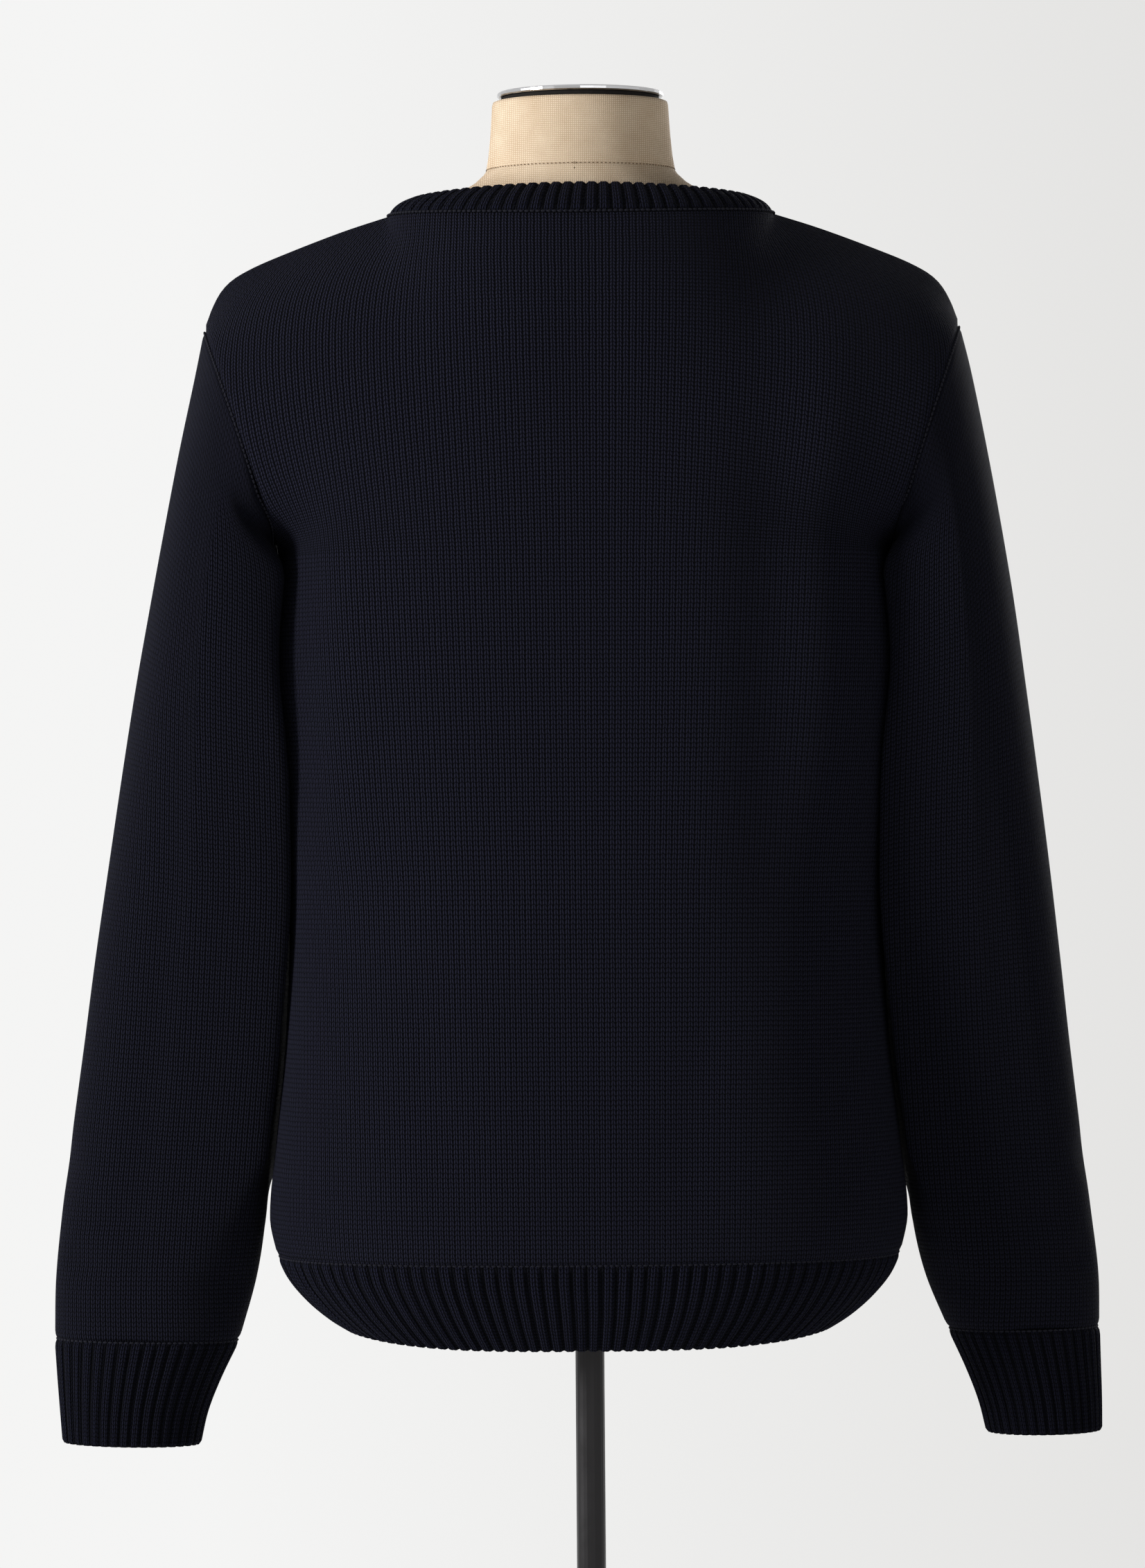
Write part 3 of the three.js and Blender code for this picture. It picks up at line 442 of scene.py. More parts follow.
gutter = math_node(nodes, links, "SUBTRACT", 1.0, math_node(nodes, links, "MULTIPLY",
                   math_node(nodes, links, "POWER", across, 3.0), 0.85))
height = math_node(nodes, links, "MULTIPLY", stitch, gutter)
fuzz = nodes.new("ShaderNodeTexNoise")
fuzz.inputs["Scale"].default_value = 3.1
fuzz.inputs["Detail"].default_value = 3.0
links.new(enter.outputs[0], fuzz.inputs["Vector"])
# Only the tops of the stitches show the yarn's colour, and the gaps between them are painted dark as shade;
# the Yarn output carries this painted shade together with the yarn's unevenness.
GAP_SHADE_CONTRAST, GAP_SHADE_CUT = 4.2, 0.62
shown = math_node(nodes, links, "MULTIPLY", height, GAP_SHADE_CONTRAST)
shown = math_node(nodes, links, "SUBTRACT", shown, GAP_SHADE_CUT, clamp=True)
yarn = math_node(nodes, links, "MULTIPLY", shown, math_node(nodes, links, "ADD", fuzz.outputs["Fac"], 0.5))
links.new(height, leave.inputs["Height"])
links.new(yarn, leave.inputs["Yarn"])


def knit_material(name, colour, rib):
    material = bpy.data.materials.new(name)
    material.use_nodes = True
    nodes, links = material.node_tree.nodes, material.node_tree.links
    shader = nodes["Principled BSDF"]
    shader.inputs["Roughness"].default_value = 0.92
    shader.inputs["Specular IOR Level"].default_value = 0.06
    shader.inputs["Sheen Weight"].default_value = 0.012
    shader.inputs["Sheen Roughness"].default_value = 0.5
    shader.inputs["Sheen Tint"].default_value = (0.45, 0.5, 0.8, 1.0)
    where = nodes.new("ShaderNodeUVMap")
    where.uv_map = "stitches"
    pattern = nodes.new("ShaderNodeGroup")
    pattern.node_tree = stitch_group
    links.new(where.outputs[0], pattern.inputs["Stitches"])
    tone = pattern.outputs["Yarn"]
    # On the ribs the grooves between the ridges are painted darker still, as shade.
    if rib:
        ridge = nodes.new("ShaderNodeAttribute")
        ridge.attribute_name = "rib"
        lift = math_node(nodes, links, "MULTIPLY", ridge.outputs["Fac"], 0.95)
        lift = math_node(nodes, links, "ADD", lift, 0.12)
        tone = math_node(nodes, links, "MULTIPLY", tone, lift)
    # The near-black colour is painted shade: it fills the gaps between the stitches and, on the ribs, the
    # grooves.
    colour_mix = nodes.new("ShaderNodeMix")
    colour_mix.data_type = "RGBA"
    colour_mix.inputs["A"].default_value = (0.0004, 0.0004, 0.0007, 1.0)
    colour_mix.inputs["B"].default_value = (*colour, 1.0)
    links.new(tone, colour_mix.inputs["Factor"])
    links.new(colour_mix.outputs["Result"], shader.inputs["Base Color"])
    bump = nodes.new("ShaderNodeBump")
    bump.inputs["Strength"].default_value = 1.0
    bump.inputs["Distance"].default_value = 0.0022
    links.new(pattern.outputs["Height"], bump.inputs["Height"])
    links.new(bump.outputs[0], shader.inputs["Normal"])
    return material


NAVY = (0.0140, 0.0145, 0.0280)
body_knit = knit_material("body_knit", NAVY, False)


def seam_groove(distance, depth=1.3 * MM, width=2.2 * MM):
    return depth * np.exp(-(distance / width) ** 2)


def panel(name, to_back):
    points = panel_points(to_back)
    middle = np.array([0.0, 0.0, 1.0])
    normal = outward(points, False, middle)
    rows = np.linalg.norm(np.diff(points, axis=1), axis=2)
    along_row = np.concatenate([np.zeros((len(points), 1)), np.cumsum(rows, axis=1)], axis=1)
    centre = along_row[:, HALF_COLUMNS:HALF_COLUMNS + 1]
    across = along_row - centre
    climb = np.linalg.norm(np.diff(points[:, HALF_COLUMNS], axis=0), axis=1)
    centre_z = points[:, HALF_COLUMNS, 2]
    course = np.interp((centre_z[1:] + centre_z[:-1]) / 2, KNIT_HEIGHTS, BODY_COURSES)
    up = np.concatenate([[0], np.cumsum(climb / course)])[:, None] * np.ones_like(across)
    wale = np.interp(centre_z, KNIT_HEIGHTS, BODY_WALES)[:, None]
    uv = np.stack([across / wale, up], axis=-1)
    columns_up = np.concatenate([np.zeros((1, points.shape[1])),
                                 np.cumsum(np.linalg.norm(np.diff(points, axis=0), axis=2), axis=0)])
    from_side = along_row[:, -1:] / 2 - np.abs(along_row - along_row[:, -1:] / 2)
    from_top = columns_up[-1] - columns_up
    folds = fold_depth(points[..., 0], points[..., 2], BODY_FOLDS)
    folds *= np.clip(np.abs(points[..., 1]) / 0.06, 0, 1)
    fashioning = np.zeros_like(across)
    fashioning[LOWER_ROWS:] = -0.45 * MM * np.exp(-((from_side[LOWER_ROWS:] - 5.5 * MM) / (1.6 * MM)) ** 2)
    crease = 0.9 * MM * np.exp(-((points[..., 2] - 1.033 - 0.01 * np.sin(points[..., 0] * 9)) / 0.006) ** 2)
    crease *= np.clip(1 - np.abs(points[..., 0]) / 0.17, 0, 1)
    inward = folds + seam_groove(from_side)
    inward += seam_groove(from_top, 1.0 * MM) + seam_groove(columns_up, 1.2 * MM)
    inward += fashioning + crease
    shaped = points - normal * inward[..., None]
    return cloth_object(name, shaped, normal, False, uv, CLOTH, body_knit), points


back_panel, back_points = panel("back_panel_knit", True)
front_panel, front_points = panel("front_panel_knit", False)
for piece, node in ((back_panel, "back_panel"), (front_panel, "front_panel")):
    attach(piece, "root")
    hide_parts(node)

# ------------------------------------------------------------------ sleeves
# Two plain knit tubes linked into the armholes. Empty, they hang flat beside the body, bend
# round its sides and fill out again where they bag over the cuffs.
SLEEVE_WRAP = 30
LEFT_SLEEVE = [
    (240, 1262, 196, 1138, 78.5, 0), (250, 1217, 198.5, 1120, 76, 1), (259.5, 1170, 200.5, 1094, 75, 2),
    (269, 1121, 199.5, 1062, 74, 3), (278, 1073, 196.8, 1030, 71, 4), (287, 1020, 192.2, 988, 65, 6),
    (296.5, 960, 188.3, 938, 57, 8), (305.5, 902, 189, 888, 51, 10), (313.5, 845, 192, 836, 46, 12),
    (321.5, 790, 197.2, 785, 42, 14), (328, 742, 201.4, 740, 39, 15), (332, 703, 207, 703, 37, 16),
    (333, 666, 218, 664, 34.5, 17),
]
RIGHT_SLEEVE = [
    (241, 1262, 196, 1138, 78.5, 0), (250, 1217, 198.5, 1120, 76, 1), (258.5, 1170, 200.5, 1094, 75, 2),
    (266.5, 1121, 199.5, 1062, 74, 3), (273, 1073, 196.8, 1030, 72, 4), (280, 1020, 192.2, 988, 67, 6),
    (287.5, 960, 188.3, 938, 61, 8), (294, 902, 189, 888, 56, 10), (300, 845, 192, 836, 52, 12),
    (306.5, 790, 197.5, 785, 48, 14), (312.5, 742, 201.4, 740, 45, 15), (317, 703, 209, 703, 42, 16),
    (317.5, 669, 223, 668, 38, 17),
]
SLEEVE_RING = 112
SLEEVE_FOLDS = [
    {"turn": 1.35, "at": 0.62, "width": 0.38, "length": 0.42, "depth": 5.0, "lean": 0.0},
    {"turn": 4.8, "at": 0.62, "width": 0.42, "length": 0.42, "depth": 3.0, "lean": 0.0},
    {"turn": 2.2, "at": 0.45, "width": 0.25, "length": 0.3, "depth": -2.0, "lean": 0.3},
    {"turn": 0.75, "at": 0.90, "width": 0.30, "length": 0.022, "depth": 2.2, "lean": 0.05},
    {"turn": 1.05, "at": 0.845, "width": 0.34, "length": 0.018, "depth": 1.5, "lean": -0.04},
    {"turn": 0.35, "at": 0.79, "width": 0.32, "length": 0.022, "depth": 1.4, "lean": 0.03},
    {"turn": 5.4, "at": 0.86, "width": 0.4, "length": 0.02, "depth": 1.8, "lean": -0.03},
    {"turn": 2.3, "at": 0.93, "width": 0.3, "length": 0.02, "depth": 1.2, "lean": 0.04},
]


def sleeve_ring(section, side, wrap=0.0):
    outer_x, outer_z, inner_x, inner_z, depth, forward = section
    angle = 2 * np.pi * np.arange(SLEEVE_RING) / SLEEVE_RING
    cos, sin = np.cos(angle), np.sin(angle)
    power = np.where(cos < 0, 1 - wrap / SLEEVE_WRAP / 3, 1.0)
    out = (1 + np.sign(cos) * np.abs(cos) ** power) / 2
    bend = wrap * sin ** 2 * np.sqrt(np.clip(-cos, 0, 1))
    x = inner_x + (outer_x - inner_x) * out - bend
    z = inner_z + (outer_z - inner_z) * out
    y = depth * np.sign(sin) * np.abs(sin) ** power - forward
    return np.stack([side * x, y, z], axis=1) * MM


def beside_body(points, side):
    """Lays a sleeve's inner side on the body's side, a few millimetres clear of it."""
    laid = points.copy()
    angle = 2 * np.pi * np.arange(SLEEVE_RING) / SLEEVE_RING
    inner = np.clip(-np.cos(angle) * 1.7, 0, 1)[None]
    height = points[..., 2] / MM
    read = {k: smooth(BODY_SECTIONS["height"], BODY_SECTIONS[k], np.clip(height, 718, 1150))
            for k in ("side", "back", "front", "squareness")}
    depth = np.where(points[..., 1] > 0, read["back"], read["front"])
    share = np.clip(np.abs(points[..., 1]) / MM / depth, 0, 0.98)
    body_x = read["side"] * (1 - share ** read["squareness"]) ** (1 / read["squareness"])
    x = points[..., 0] * side / MM
    pull = np.clip(x - (body_x + 4.2), 0, 24) * inner
    upper = np.clip((1188 - height) / 55, 0, 1)
    pull *= np.clip((height - 735) / 45, 0, 1) * upper * upper * (3 - 2 * upper)
    laid[..., 0] = side * (x - pull) * MM
    return laid


def armhole_ring(side):
    turns = np.arange(SLEEVE_RING) / SLEEVE_RING * 2
    points = [armhole_point(1 - min(t, 2 - t), t <= 1) for t in turns]
    return np.array(points) * np.array([side, 1, 1]) * MM


def lofted(rings, per_span):
    stack = np.array(rings)
    flat = stack.reshape(len(stack), -1)
    return spline(flat, per_span).reshape(-1, stack.shape[1], 3)


def sleeve(name, sections, side, material):
    beside = len(sections) - 2
    rings = [armhole_ring(side)]
    for k, section in enumerate(sections):
        wrap = SLEEVE_WRAP * max(math.sin(math.pi * min(k, beside) / beside), 0.0) ** 0.7
        rings.append(sleeve_ring(section, side, wrap))
    points = beside_body(lofted(rings, 14), side)
    middle = points.mean(axis=1, keepdims=True)
    normal = outward(points, True, middle)
    rows = len(points)
    at = np.linspace(0, 1, rows)[:, None]
    angle = (2 * np.pi * np.arange(SLEEVE_RING) / SLEEVE_RING)[None]
    inward = np.zeros((rows, SLEEVE_RING))
    for fold in SLEEVE_FOLDS:
        turn = (angle - fold["turn"] - fold["lean"] * (at - fold["at"]) * 8 + np.pi) % (2 * np.pi) - np.pi
        away = (turn / fold["width"]) ** 2 + ((at - fold["at"]) / fold["length"]) ** 2
        inward += fold["depth"] * MM * np.exp(-away)
    steps = np.linalg.norm(np.diff(points, axis=0), axis=2)
    down = np.concatenate([np.zeros((1, SLEEVE_RING)), np.cumsum(steps, axis=0)])
    inward *= np.clip(down / 0.05, 0, 1)
    inward += seam_groove(down) + seam_groove(down[-1] - down, 1.4 * MM)
    around = np.linalg.norm(np.roll(points, -1, axis=1) - points, axis=2)
    arc = np.concatenate([np.zeros((rows, 1)), np.cumsum(around, axis=1)[:, :-1]], axis=1)
    half = around.sum(axis=1, keepdims=True) / 2
    inward += seam_groove(np.abs(arc - half), 1.1 * MM, 2.0 * MM)
    uv = np.stack([arc / WALE, down.mean(axis=1, keepdims=True) / COURSE * np.ones_like(arc)], axis=-1)
    shaped = points - normal * inward[..., None]
    return cloth_object(name, shaped, normal, True, uv, CLOTH, material), points


# The sleeves are knitted from the body's yarn; their colour is the body's navy painted 0.8 times darker as
# shade.
SLEEVE_PAINTED_SHADE_NAVY = tuple(0.80 * c for c in NAVY)
sleeve_shaded_knit = knit_material("sleeve_shaded_knit", SLEEVE_PAINTED_SHADE_NAVY, False)
sleeve_left, left_points = sleeve("sleeve_left_knit", LEFT_SLEEVE, 1, sleeve_shaded_knit)
sleeve_right, right_points = sleeve("sleeve_right_knit", RIGHT_SLEEVE, -1, sleeve_shaded_knit)
for piece, node in ((sleeve_left, "sleeve_left"), (sleeve_right, "sleeve_right")):
    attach(piece, "root")
    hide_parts(node)

# ------------------------------------------------------------------ ribs
# The hem, the cuffs and the neckband are knitted in a two by two rib: rounded double ridges
# with a narrow sunk groove between them, which is also painted dark as shade. The hem and cuffs draw the
# cloth in.
RIB_DEPTH = 1.7 * MM
RIB_STEPS = 8


def rib_profile(turns):
    within = turns % 1.0
    ridge = np.clip(1 - np.abs((within - 0.5) / 0.40) ** 4, 0, 1)
    dimple = 0.16 * np.exp(-((within - 0.5) / 0.07) ** 2)
    return ridge, ridge ** 0.7 - dimple


def ribbed_tube(name, rings, ribs, middle, material, depth=RIB_DEPTH, thickness=CLOTH, lean=0.0):
    count = ribs * RIB_STEPS
    source = np.array(rings)
    closed = np.concatenate([source, source[:, :1]], axis=1)
    even = np.array([evenly(ring, count)[:-1] for ring in closed])
    points = spline(even.reshape(len(even), -1), 9).reshape(-1, count, 3)
    normal = outward(points, True, middle if middle is not None else points.mean(axis=1, keepdims=True))
    turns = np.arange(count)[None] / RIB_STEPS + lean * np.linspace(0, 1, len(points))[:, None]
    steps = np.linalg.norm(np.diff(points, axis=0), axis=2).mean(axis=1)
    down = np.concatenate([[0], np.cumsum(steps)])[:, None]
    ridge, raised = rib_profile(turns)
    settle = np.clip(down / 0.006, 0, 1) ** 0.5
    edge = np.clip((down[-1] - down) / 0.0022, 0, 1)
    rolled = (1 - np.sqrt(1 - (1 - edge) ** 2)) * 1.1 * MM
    lift = (raised - 0.75) * depth * settle - seam_groove(down, 1.3 * MM) - rolled
    shaped = points + normal * lift[..., None]
    uv = np.stack([turns * 2.6, down / (COURSE * 0.92) * np.ones_like(turns)], axis=-1)
    # The rib attribute carries the ridge mask, by which the material paints shade into the grooves.
    piece = cloth_object(name, shaped, normal, True, uv, thickness, material, rib=ridge * np.ones_like(lift))
    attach(piece, "root")
    return piece


RIB_NAVY = (0.0108, 0.0114, 0.0245)
rib_knit = knit_material("rib_knit", RIB_NAVY, True)
# The cuffs use the ribs' yarn painted 0.85 times darker, as shade like the sleeves.
cuff_shaded_rib = knit_material("cuff_rib_knit", tuple(0.85 * c for c in RIB_NAVY), True)
seam_ring = np.concatenate([back_points[0, ::-1], front_points[0, 1:-1]])
HEM_ROWS = [(186, 115, 110, 703, 1), (175, 108, 104, 687, 4), (162, 101, 97, 674, 6), (149, 95, 91, 664, 8)]
hem_rings = [seam_ring]
for side, back, front, height, rise in HEM_ROWS:
    ring = seam_ring.copy()
    ring[:, 0] *= side / 193
    ring[:, 1] *= np.where(ring[:, 1] > 0, back / 117, front / 112)
    sideways = np.clip(np.abs(seam_ring[:, 0]) / 0.193, 0, 1)
    ring[:, 2] = (height + rise * sideways ** 4) * MM
    hem_rings.append(ring)
hem = ribbed_tube("hem_rib_knit", hem_rings, 112, np.array([0, 0, 0.70]), rib_knit)
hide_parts("hem_rib")

LEFT_CUFF = [(331.5, 642, 229.5, 641, 32, 17), (330, 621, 238, 620, 30, 17), (328.5, 601, 243, 599, 29, 17)]
RIGHT_CUFF = [(318, 645, 234, 644, 35, 17), (318.5, 624, 242, 623, 33, 17), (318.5, 604, 247, 603, 32, 17)]
for name, node, sections, side, points in (
        ("cuff_left_knit", "cuff_left", LEFT_CUFF, 1, left_points),
        ("cuff_right_knit", "cuff_right", RIGHT_CUFF, -1, right_points)):
    rings = [points[-1]] + [sleeve_ring(section, side) for section in sections]
    cuff = ribbed_tube(name, rings, 36, None, cuff_shaded_rib, depth=1.5 * MM)
    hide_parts(node)

half = HALF_COLUMNS // 2
neck_slice = slice(HALF_COLUMNS - half, HALF_COLUMNS + half + 1)
neck_seam = np.concatenate([back_points[-1, neck_slice][::-1], front_points[-1, neck_slice][1:-1]])
NECK_EDGE = {"side": 103, "side_z": 1373, "back": 62, "back_z": 1377.5, "front": 66, "front_z": 1312}
neck_edge = []
for k in range(4 * half):
    to_back = k <= 2 * half
    turn = 1 - k / half if to_back else (k - 3 * half) / half
    edge_point = neckline_point(NECK_EDGE, abs(turn), to_back) * MM
    neck_edge.append([math.copysign(edge_point[0], turn), edge_point[1], edge_point[2]])
neck_edge = np.array(neck_edge)
neck_middle = (neck_seam + neck_edge) / 2 + np.stack(
    [neck_seam[:, 0] * 0.012, neck_seam[:, 1] * 0.012, np.full(len(neck_seam), 1.2 * MM)], axis=1)
neckband = ribbed_tube("neckband_knit", [neck_seam, neck_middle, neck_edge], 78,
                       np.array([0, 0, 1.25]), rib_knit, depth=1.6 * MM, lean=0.35)
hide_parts("neckband")

# ------------------------------------------------------------------ linking stitches
# Small chain stitches of the same yarn show where the pieces are linked: round the neckline, the
# armholes, the hem and the cuffs.
stitch_tree = bpy.data.node_groups.new("stitch_run", "GeometryNodeTree")
face = stitch_tree.interface
face.new_socket("Geometry", in_out="INPUT", socket_type="NodeSocketGeometry")
face.new_socket("Spacing", in_out="INPUT", socket_type="NodeSocketFloat")
face.new_socket("Stitch Length", in_out="INPUT", socket_type="NodeSocketFloat")
face.new_socket("Stitch Radius", in_out="INPUT", socket_type="NodeSocketFloat")
face.new_socket("Yarn", in_out="INPUT", socket_type="NodeSocketMaterial")
face.new_socket("Geometry", in_out="OUTPUT", socket_type="NodeSocketGeometry")
nodes, links = stitch_tree.nodes, stitch_tree.links
enter = nodes.new("NodeGroupInput")
leave = nodes.new("NodeGroupOutput")
to_curve = nodes.new("GeometryNodeMeshToCurve")
resample = nodes.new("GeometryNodeResampleCurve")
resample.mode = "LENGTH"
grain = nodes.new("GeometryNodeMeshIcoSphere")
grain.inputs["Radius"].default_value = 1.0
grain.inputs["Subdivisions"].default_value = 2
shape = nodes.new("ShaderNodeCombineXYZ")
tangent = nodes.new("GeometryNodeInputTangent")
align = nodes.new("FunctionNodeAlignRotationToVector")
align.axis = "X"
scatter = nodes.new("GeometryNodeInstanceOnPoints")
real = nodes.new("GeometryNodeRealizeInstances")
shade = nodes.new("GeometryNodeSetShadeSmooth")
paint = nodes.new("GeometryNodeSetMaterial")
links.new(enter.outputs["Geometry"], to_curve.inputs["Mesh"])
links.new(to_curve.outputs["Curve"], resample.inputs["Curve"])
links.new(enter.outputs["Spacing"], resample.inputs["Length"])
links.new(resample.outputs["Curve"], scatter.inputs["Points"])
links.new(grain.outputs["Mesh"], scatter.inputs["Instance"])
links.new(tangent.outputs[0], align.inputs["Vector"])
links.new(align.outputs[0], scatter.inputs["Rotation"])
links.new(enter.outputs["Stitch Length"], shape.inputs["X"])
links.new(enter.outputs["Stitch Radius"], shape.inputs["Y"])
links.new(enter.outputs["Stitch Radius"], shape.inputs["Z"])
links.new(shape.outputs[0], scatter.inputs["Scale"])
links.new(scatter.outputs["Instances"], real.inputs["Geometry"])
links.new(real.outputs["Geometry"], shade.inputs["Geometry"])
links.new(shade.outputs["Geometry"], paint.inputs["Geometry"])
links.new(enter.outputs["Yarn"], paint.inputs["Material"])
links.new(paint.outputs["Geometry"], leave.inputs["Geometry"])


def yarn_material(name, colour, scale):
    material = bpy.data.materials.new(name)
    material.use_nodes = True
    nodes, links = material.node_tree.nodes, material.node_tree.links
    shader = nodes["Principled BSDF"]
    shader.inputs["Roughness"].default_value = 0.9
    shader.inputs["Specular IOR Level"].default_value = 0.2
    where = nodes.new("ShaderNodeTexCoord")
    noise = nodes.new("ShaderNodeTexNoise")
    noise.inputs["Scale"].default_value = scale
    links.new(where.outputs["Object"], noise.inputs["Vector"])
    ramp = nodes.new("ShaderNodeMix")
    ramp.data_type = "RGBA"
    ramp.inputs["A"].default_value = (*[0.35 * c for c in colour], 1.0)
    ramp.inputs["B"].default_value = (*colour, 1.0)
    links.new(noise.outputs["Fac"], ramp.inputs["Factor"])
    links.new(ramp.outputs["Result"], shader.inputs["Base Color"])
    bump = nodes.new("ShaderNodeBump")
    bump.inputs["Distance"].default_value = 0.0002
    links.new(noise.outputs["Fac"], bump.inputs["Height"])
    links.new(bump.outputs[0], shader.inputs["Normal"])
    return material


def stitch_run(name, runs, spacing, length, radius, material):
    mesh = bpy.data.meshes.new(name)
    vertices, edges = [], []
    for points, closed in runs:
        start = len(vertices)
        vertices += [tuple(p) for p in points]
        edges += [(start + k, start + k + 1) for k in range(len(points) - 1)]
        if closed:
            edges.append((start + len(points) - 1, start))
    mesh.from_pydata(vertices, edges, [])
    source = bpy.data.objects.new(name + "_path", mesh)
    bpy.context.scene.collection.objects.link(source)
    modifier = source.modifiers.new("stitches", "NODES")
    modifier.node_group = stitch_tree
    values = {"Spacing": spacing, "Stitch Length": length, "Stitch Radius": radius, "Yarn": material}
    for item in stitch_tree.interface.items_tree:
        if item.in_out == "INPUT" and item.name in values:
            modifier[item.identifier] = values[item.name]
    evaluated = source.evaluated_get(bpy.context.evaluated_depsgraph_get())
    result = bpy.data.meshes.new_from_object(evaluated)
    result.name = name
    bpy.data.objects.remove(source)
    piece = bpy.data.objects.new(name, result)
    bpy.context.scene.collection.objects.link(piece)
    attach(piece, "root")
    return piece


def ring_at(closed_row, lift, middle):
    away = closed_row - middle
    away /= np.linalg.norm(away, axis=1, keepdims=True)
    return closed_row + away * lift


yarn = yarn_material("linking_yarn", tuple(0.55 * c for c in NAVY), 900.0)
runs = [(ring_at(neck_seam, -0.2 * MM, np.array([0, 0, 1.2])), True)]
stitch_run("neck_linking", runs, 3.4 * MM, 1.5 * MM, 0.75 * MM, yarn)
runs = []
for points in (left_points, right_points):
    runs.append((ring_at(points[0], -0.8 * MM, points[0].mean(axis=0)), True))
    runs.append((ring_at(points[-1], -1.3 * MM, points[-1].mean(axis=0)), True))
runs.append((ring_at(seam_ring, -1.3 * MM, np.array([0, 0, 0.718])), True))
stitch_run("seam_linking", runs, 3.4 * MM, 1.5 * MM, 0.7 * MM, yarn)

# ------------------------------------------------------------------ dress form
# A padded torso and neck covered in natural linen, sewn with a seam round the neck's foot. The
# neck ends in a black ring under a polished steel cap.
linen = bpy.data.materials.new("linen_canvas")
linen.use_nodes = True
nodes, links = linen.node_tree.nodes, linen.node_tree.links
shader = nodes["Principled BSDF"]
shader.inputs["Roughness"].default_value = 0.88
shader.inputs["Specular IOR Level"].default_value = 0.25
where = nodes.new("ShaderNodeTexCoord")
threads = []
for turn in ((0.0, 0.0, 0.0), (0.0, math.pi / 2, 0.0)):
    placed = nodes.new("ShaderNodeMapping")
    placed.inputs["Rotation"].default_value = turn
    wave = nodes.new("ShaderNodeTexWave")
    wave.inputs["Scale"].default_value = 260.0
    wave.inputs["Distortion"].default_value = 1.2
    wave.inputs["Detail"].default_value = 2.0
    wave.inputs["Detail Scale"].default_value = 2.0
    links.new(where.outputs["Object"], placed.inputs["Vector"])
    links.new(placed.outputs[0], wave.inputs["Vector"])
    threads.append(wave.outputs["Fac"])
weave = math_node(nodes, links, "MULTIPLY", threads[0], threads[1])
slub = nodes.new("ShaderNodeTexNoise")
slub.inputs["Scale"].default_value = 60.0
slub.inputs["Detail"].default_value = 5.0
links.new(where.outputs["Object"], slub.inputs["Vector"])
mixed = math_node(nodes, links, "ADD", math_node(nodes, links, "MULTIPLY", weave, 0.8),
                  math_node(nodes, links, "MULTIPLY", slub.outputs["Fac"], 0.5), clamp=True)
ramp = nodes.new("ShaderNodeMix")
ramp.data_type = "RGBA"
ramp.inputs["A"].default_value = (0.43, 0.29, 0.17, 1.0)
ramp.inputs["B"].default_value = (0.86, 0.72, 0.55, 1.0)
links.new(mixed, ramp.inputs["Factor"])
links.new(ramp.outputs["Result"], shader.inputs["Base Color"])
bump = nodes.new("ShaderNodeBump")
bump.inputs["Strength"].default_value = 0.5
bump.inputs["Distance"].default_value = 0.0003
links.new(weave, bump.inputs["Height"])
links.new(bump.outputs[0], shader.inputs["Normal"])

torso_build = bmesh.new()
torso_build.from_mesh(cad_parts["form_torso"].data)
bmesh.ops.remove_doubles(torso_build, verts=torso_build.verts, dist=1e-5)
bmesh.ops.recalc_face_normals(torso_build, faces=torso_build.faces)
cover_mesh = bpy.data.meshes.new("form_cover")
torso_build.to_mesh(cover_mesh)
torso_build.free()
cover_mesh.shade_smooth()
cover_mesh.materials.clear()
cover_mesh.materials.append(linen)
cover = bpy.data.objects.new("form_cover", cover_mesh)
bpy.context.scene.collection.objects.link(cover)
rounding = cover.modifiers.new("rounding", "SUBSURF")
rounding.levels = 2
rounding.render_levels = 2
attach(cover, "root")
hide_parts("form_torso")

NECK_RINGS = [
    (1372.5, 82.0, 55.0, 6.0), (1376, 73.5, 53.5, 5.0), (1381, 65.5, 51.5, 4.5),
    (1386, 60.2, 50.4, 4.0), (1388.3, 58.6, 50.2, 4.0),
    (1389, 57.9, 49.6, 4.0), (1389.7, 58.4, 50.0, 4.0), (1398, 57.0, 49.8, 3.6), (1410, 55.8, 49.4, 3.0),
    (1422, 55.0, 49.1, 2.4), (1429, 54.6, 49.0, 2.0), (1431, 54.0, 48.4, 2.0), (1431.6, 52.5, 47.0, 2.0),
    (1431.4, 30, 28, 2.0),
]
NECK_POINTS = 128
turns = 2 * np.pi * np.arange(NECK_POINTS) / NECK_POINTS
rings = []
for height, side, depth, centre_y in NECK_RINGS:
    rings.append(MM * np.stack(
        [side * np.cos(turns), centre_y + depth * np.sin(turns), np.full(NECK_POINTS, height)], 1))
neck_build = bmesh.new()
grid = [[neck_build.verts.new(p) for p in ring] for ring in rings]
for lower, upper in zip(grid, grid[1:]):
    for k in range(NECK_POINTS):
        n = (k + 1) % NECK_POINTS
        neck_build.faces.new((lower[k], lower[n], upper[n], upper[k]))
neck_build.faces.new(list(reversed(grid[0])))
neck_build.faces.new(grid[-1])
neck_mesh = bpy.data.meshes.new("form_neck_cover")
neck_build.to_mesh(neck_mesh)
neck_build.free()
neck_mesh.shade_smooth()
neck_mesh.materials.append(linen)
neck = bpy.data.objects.new("form_neck_cover", neck_mesh)
bpy.context.scene.collection.objects.link(neck)
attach(neck, "root")
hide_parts("form_neck")

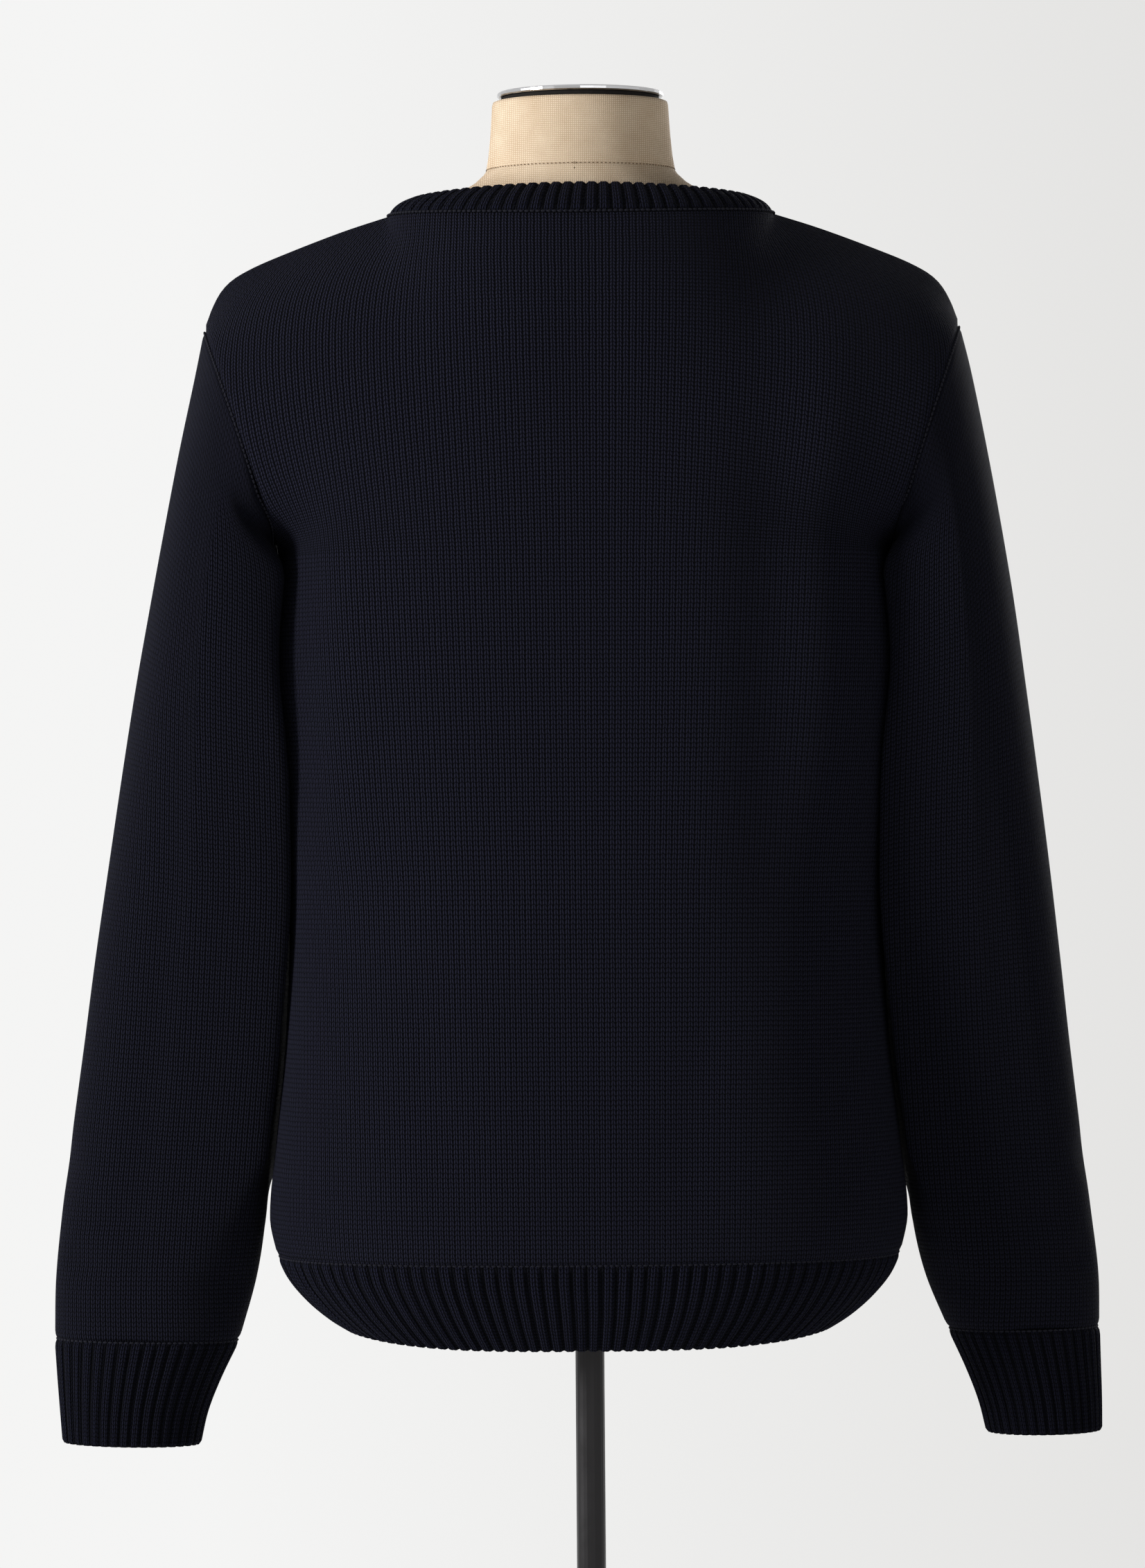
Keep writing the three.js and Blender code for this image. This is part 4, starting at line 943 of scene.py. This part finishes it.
thread = yarn_material("seam_thread", (0.20, 0.13, 0.07), 700.0)
neck_seam_ring = MM * np.stack(
    [58.5 * np.cos(turns), 4 + 50.3 * np.sin(turns), np.full(NECK_POINTS, 1389.0)], 1)
down_back = np.array([(4.0, 54.4, 1389.0 - 1.2 * k) for k in range(9)]) * MM
stitch_run("neck_seam_thread", [(neck_seam_ring, True), (down_back, False)],
           2.6 * MM, 0.7 * MM, 0.28 * MM, thread)


def metal(name, colour, roughness, metallic, grain_scale):
    material = bpy.data.materials.new(name)
    material.use_nodes = True
    nodes, links = material.node_tree.nodes, material.node_tree.links
    shader = nodes["Principled BSDF"]
    shader.inputs["Metallic"].default_value = metallic
    where = nodes.new("ShaderNodeTexCoord")
    noise = nodes.new("ShaderNodeTexNoise")
    noise.inputs["Scale"].default_value = grain_scale
    noise.inputs["Detail"].default_value = 6.0
    links.new(where.outputs["Object"], noise.inputs["Vector"])
    rough = nodes.new("ShaderNodeMapRange")
    rough.inputs["To Min"].default_value = roughness * 0.7
    rough.inputs["To Max"].default_value = roughness * 1.3
    links.new(noise.outputs["Fac"], rough.inputs["Value"])
    links.new(rough.outputs[0], shader.inputs["Roughness"])
    tint = nodes.new("ShaderNodeMix")
    tint.data_type = "RGBA"
    tint.inputs["A"].default_value = (*[0.8 * c for c in colour], 1.0)
    tint.inputs["B"].default_value = (*[min(1.15 * c, 1.0) for c in colour], 1.0)
    links.new(noise.outputs["Fac"], tint.inputs["Factor"])
    links.new(tint.outputs["Result"], shader.inputs["Base Color"])
    return material


def carried(node, material):
    mesh = bpy.data.objects[node].data
    mesh.materials.clear()
    mesh.materials.append(material)


carried("neck_cap", metal("polished_steel", (0.50, 0.50, 0.51), 0.16, 1.0, 40.0))
carried("neck_ring", yarn_material("black_binding", (0.012, 0.010, 0.009), 300.0))

# ------------------------------------------------------------------ stand
# A satin dark steel tube between a socket under the form and a weighted round base.
dark_steel = metal("dark_steel", (0.019, 0.018, 0.019), 0.38, 0.7, 90.0)
for node in ("pole", "pole_socket", "base"):
    carried(node, dark_steel)
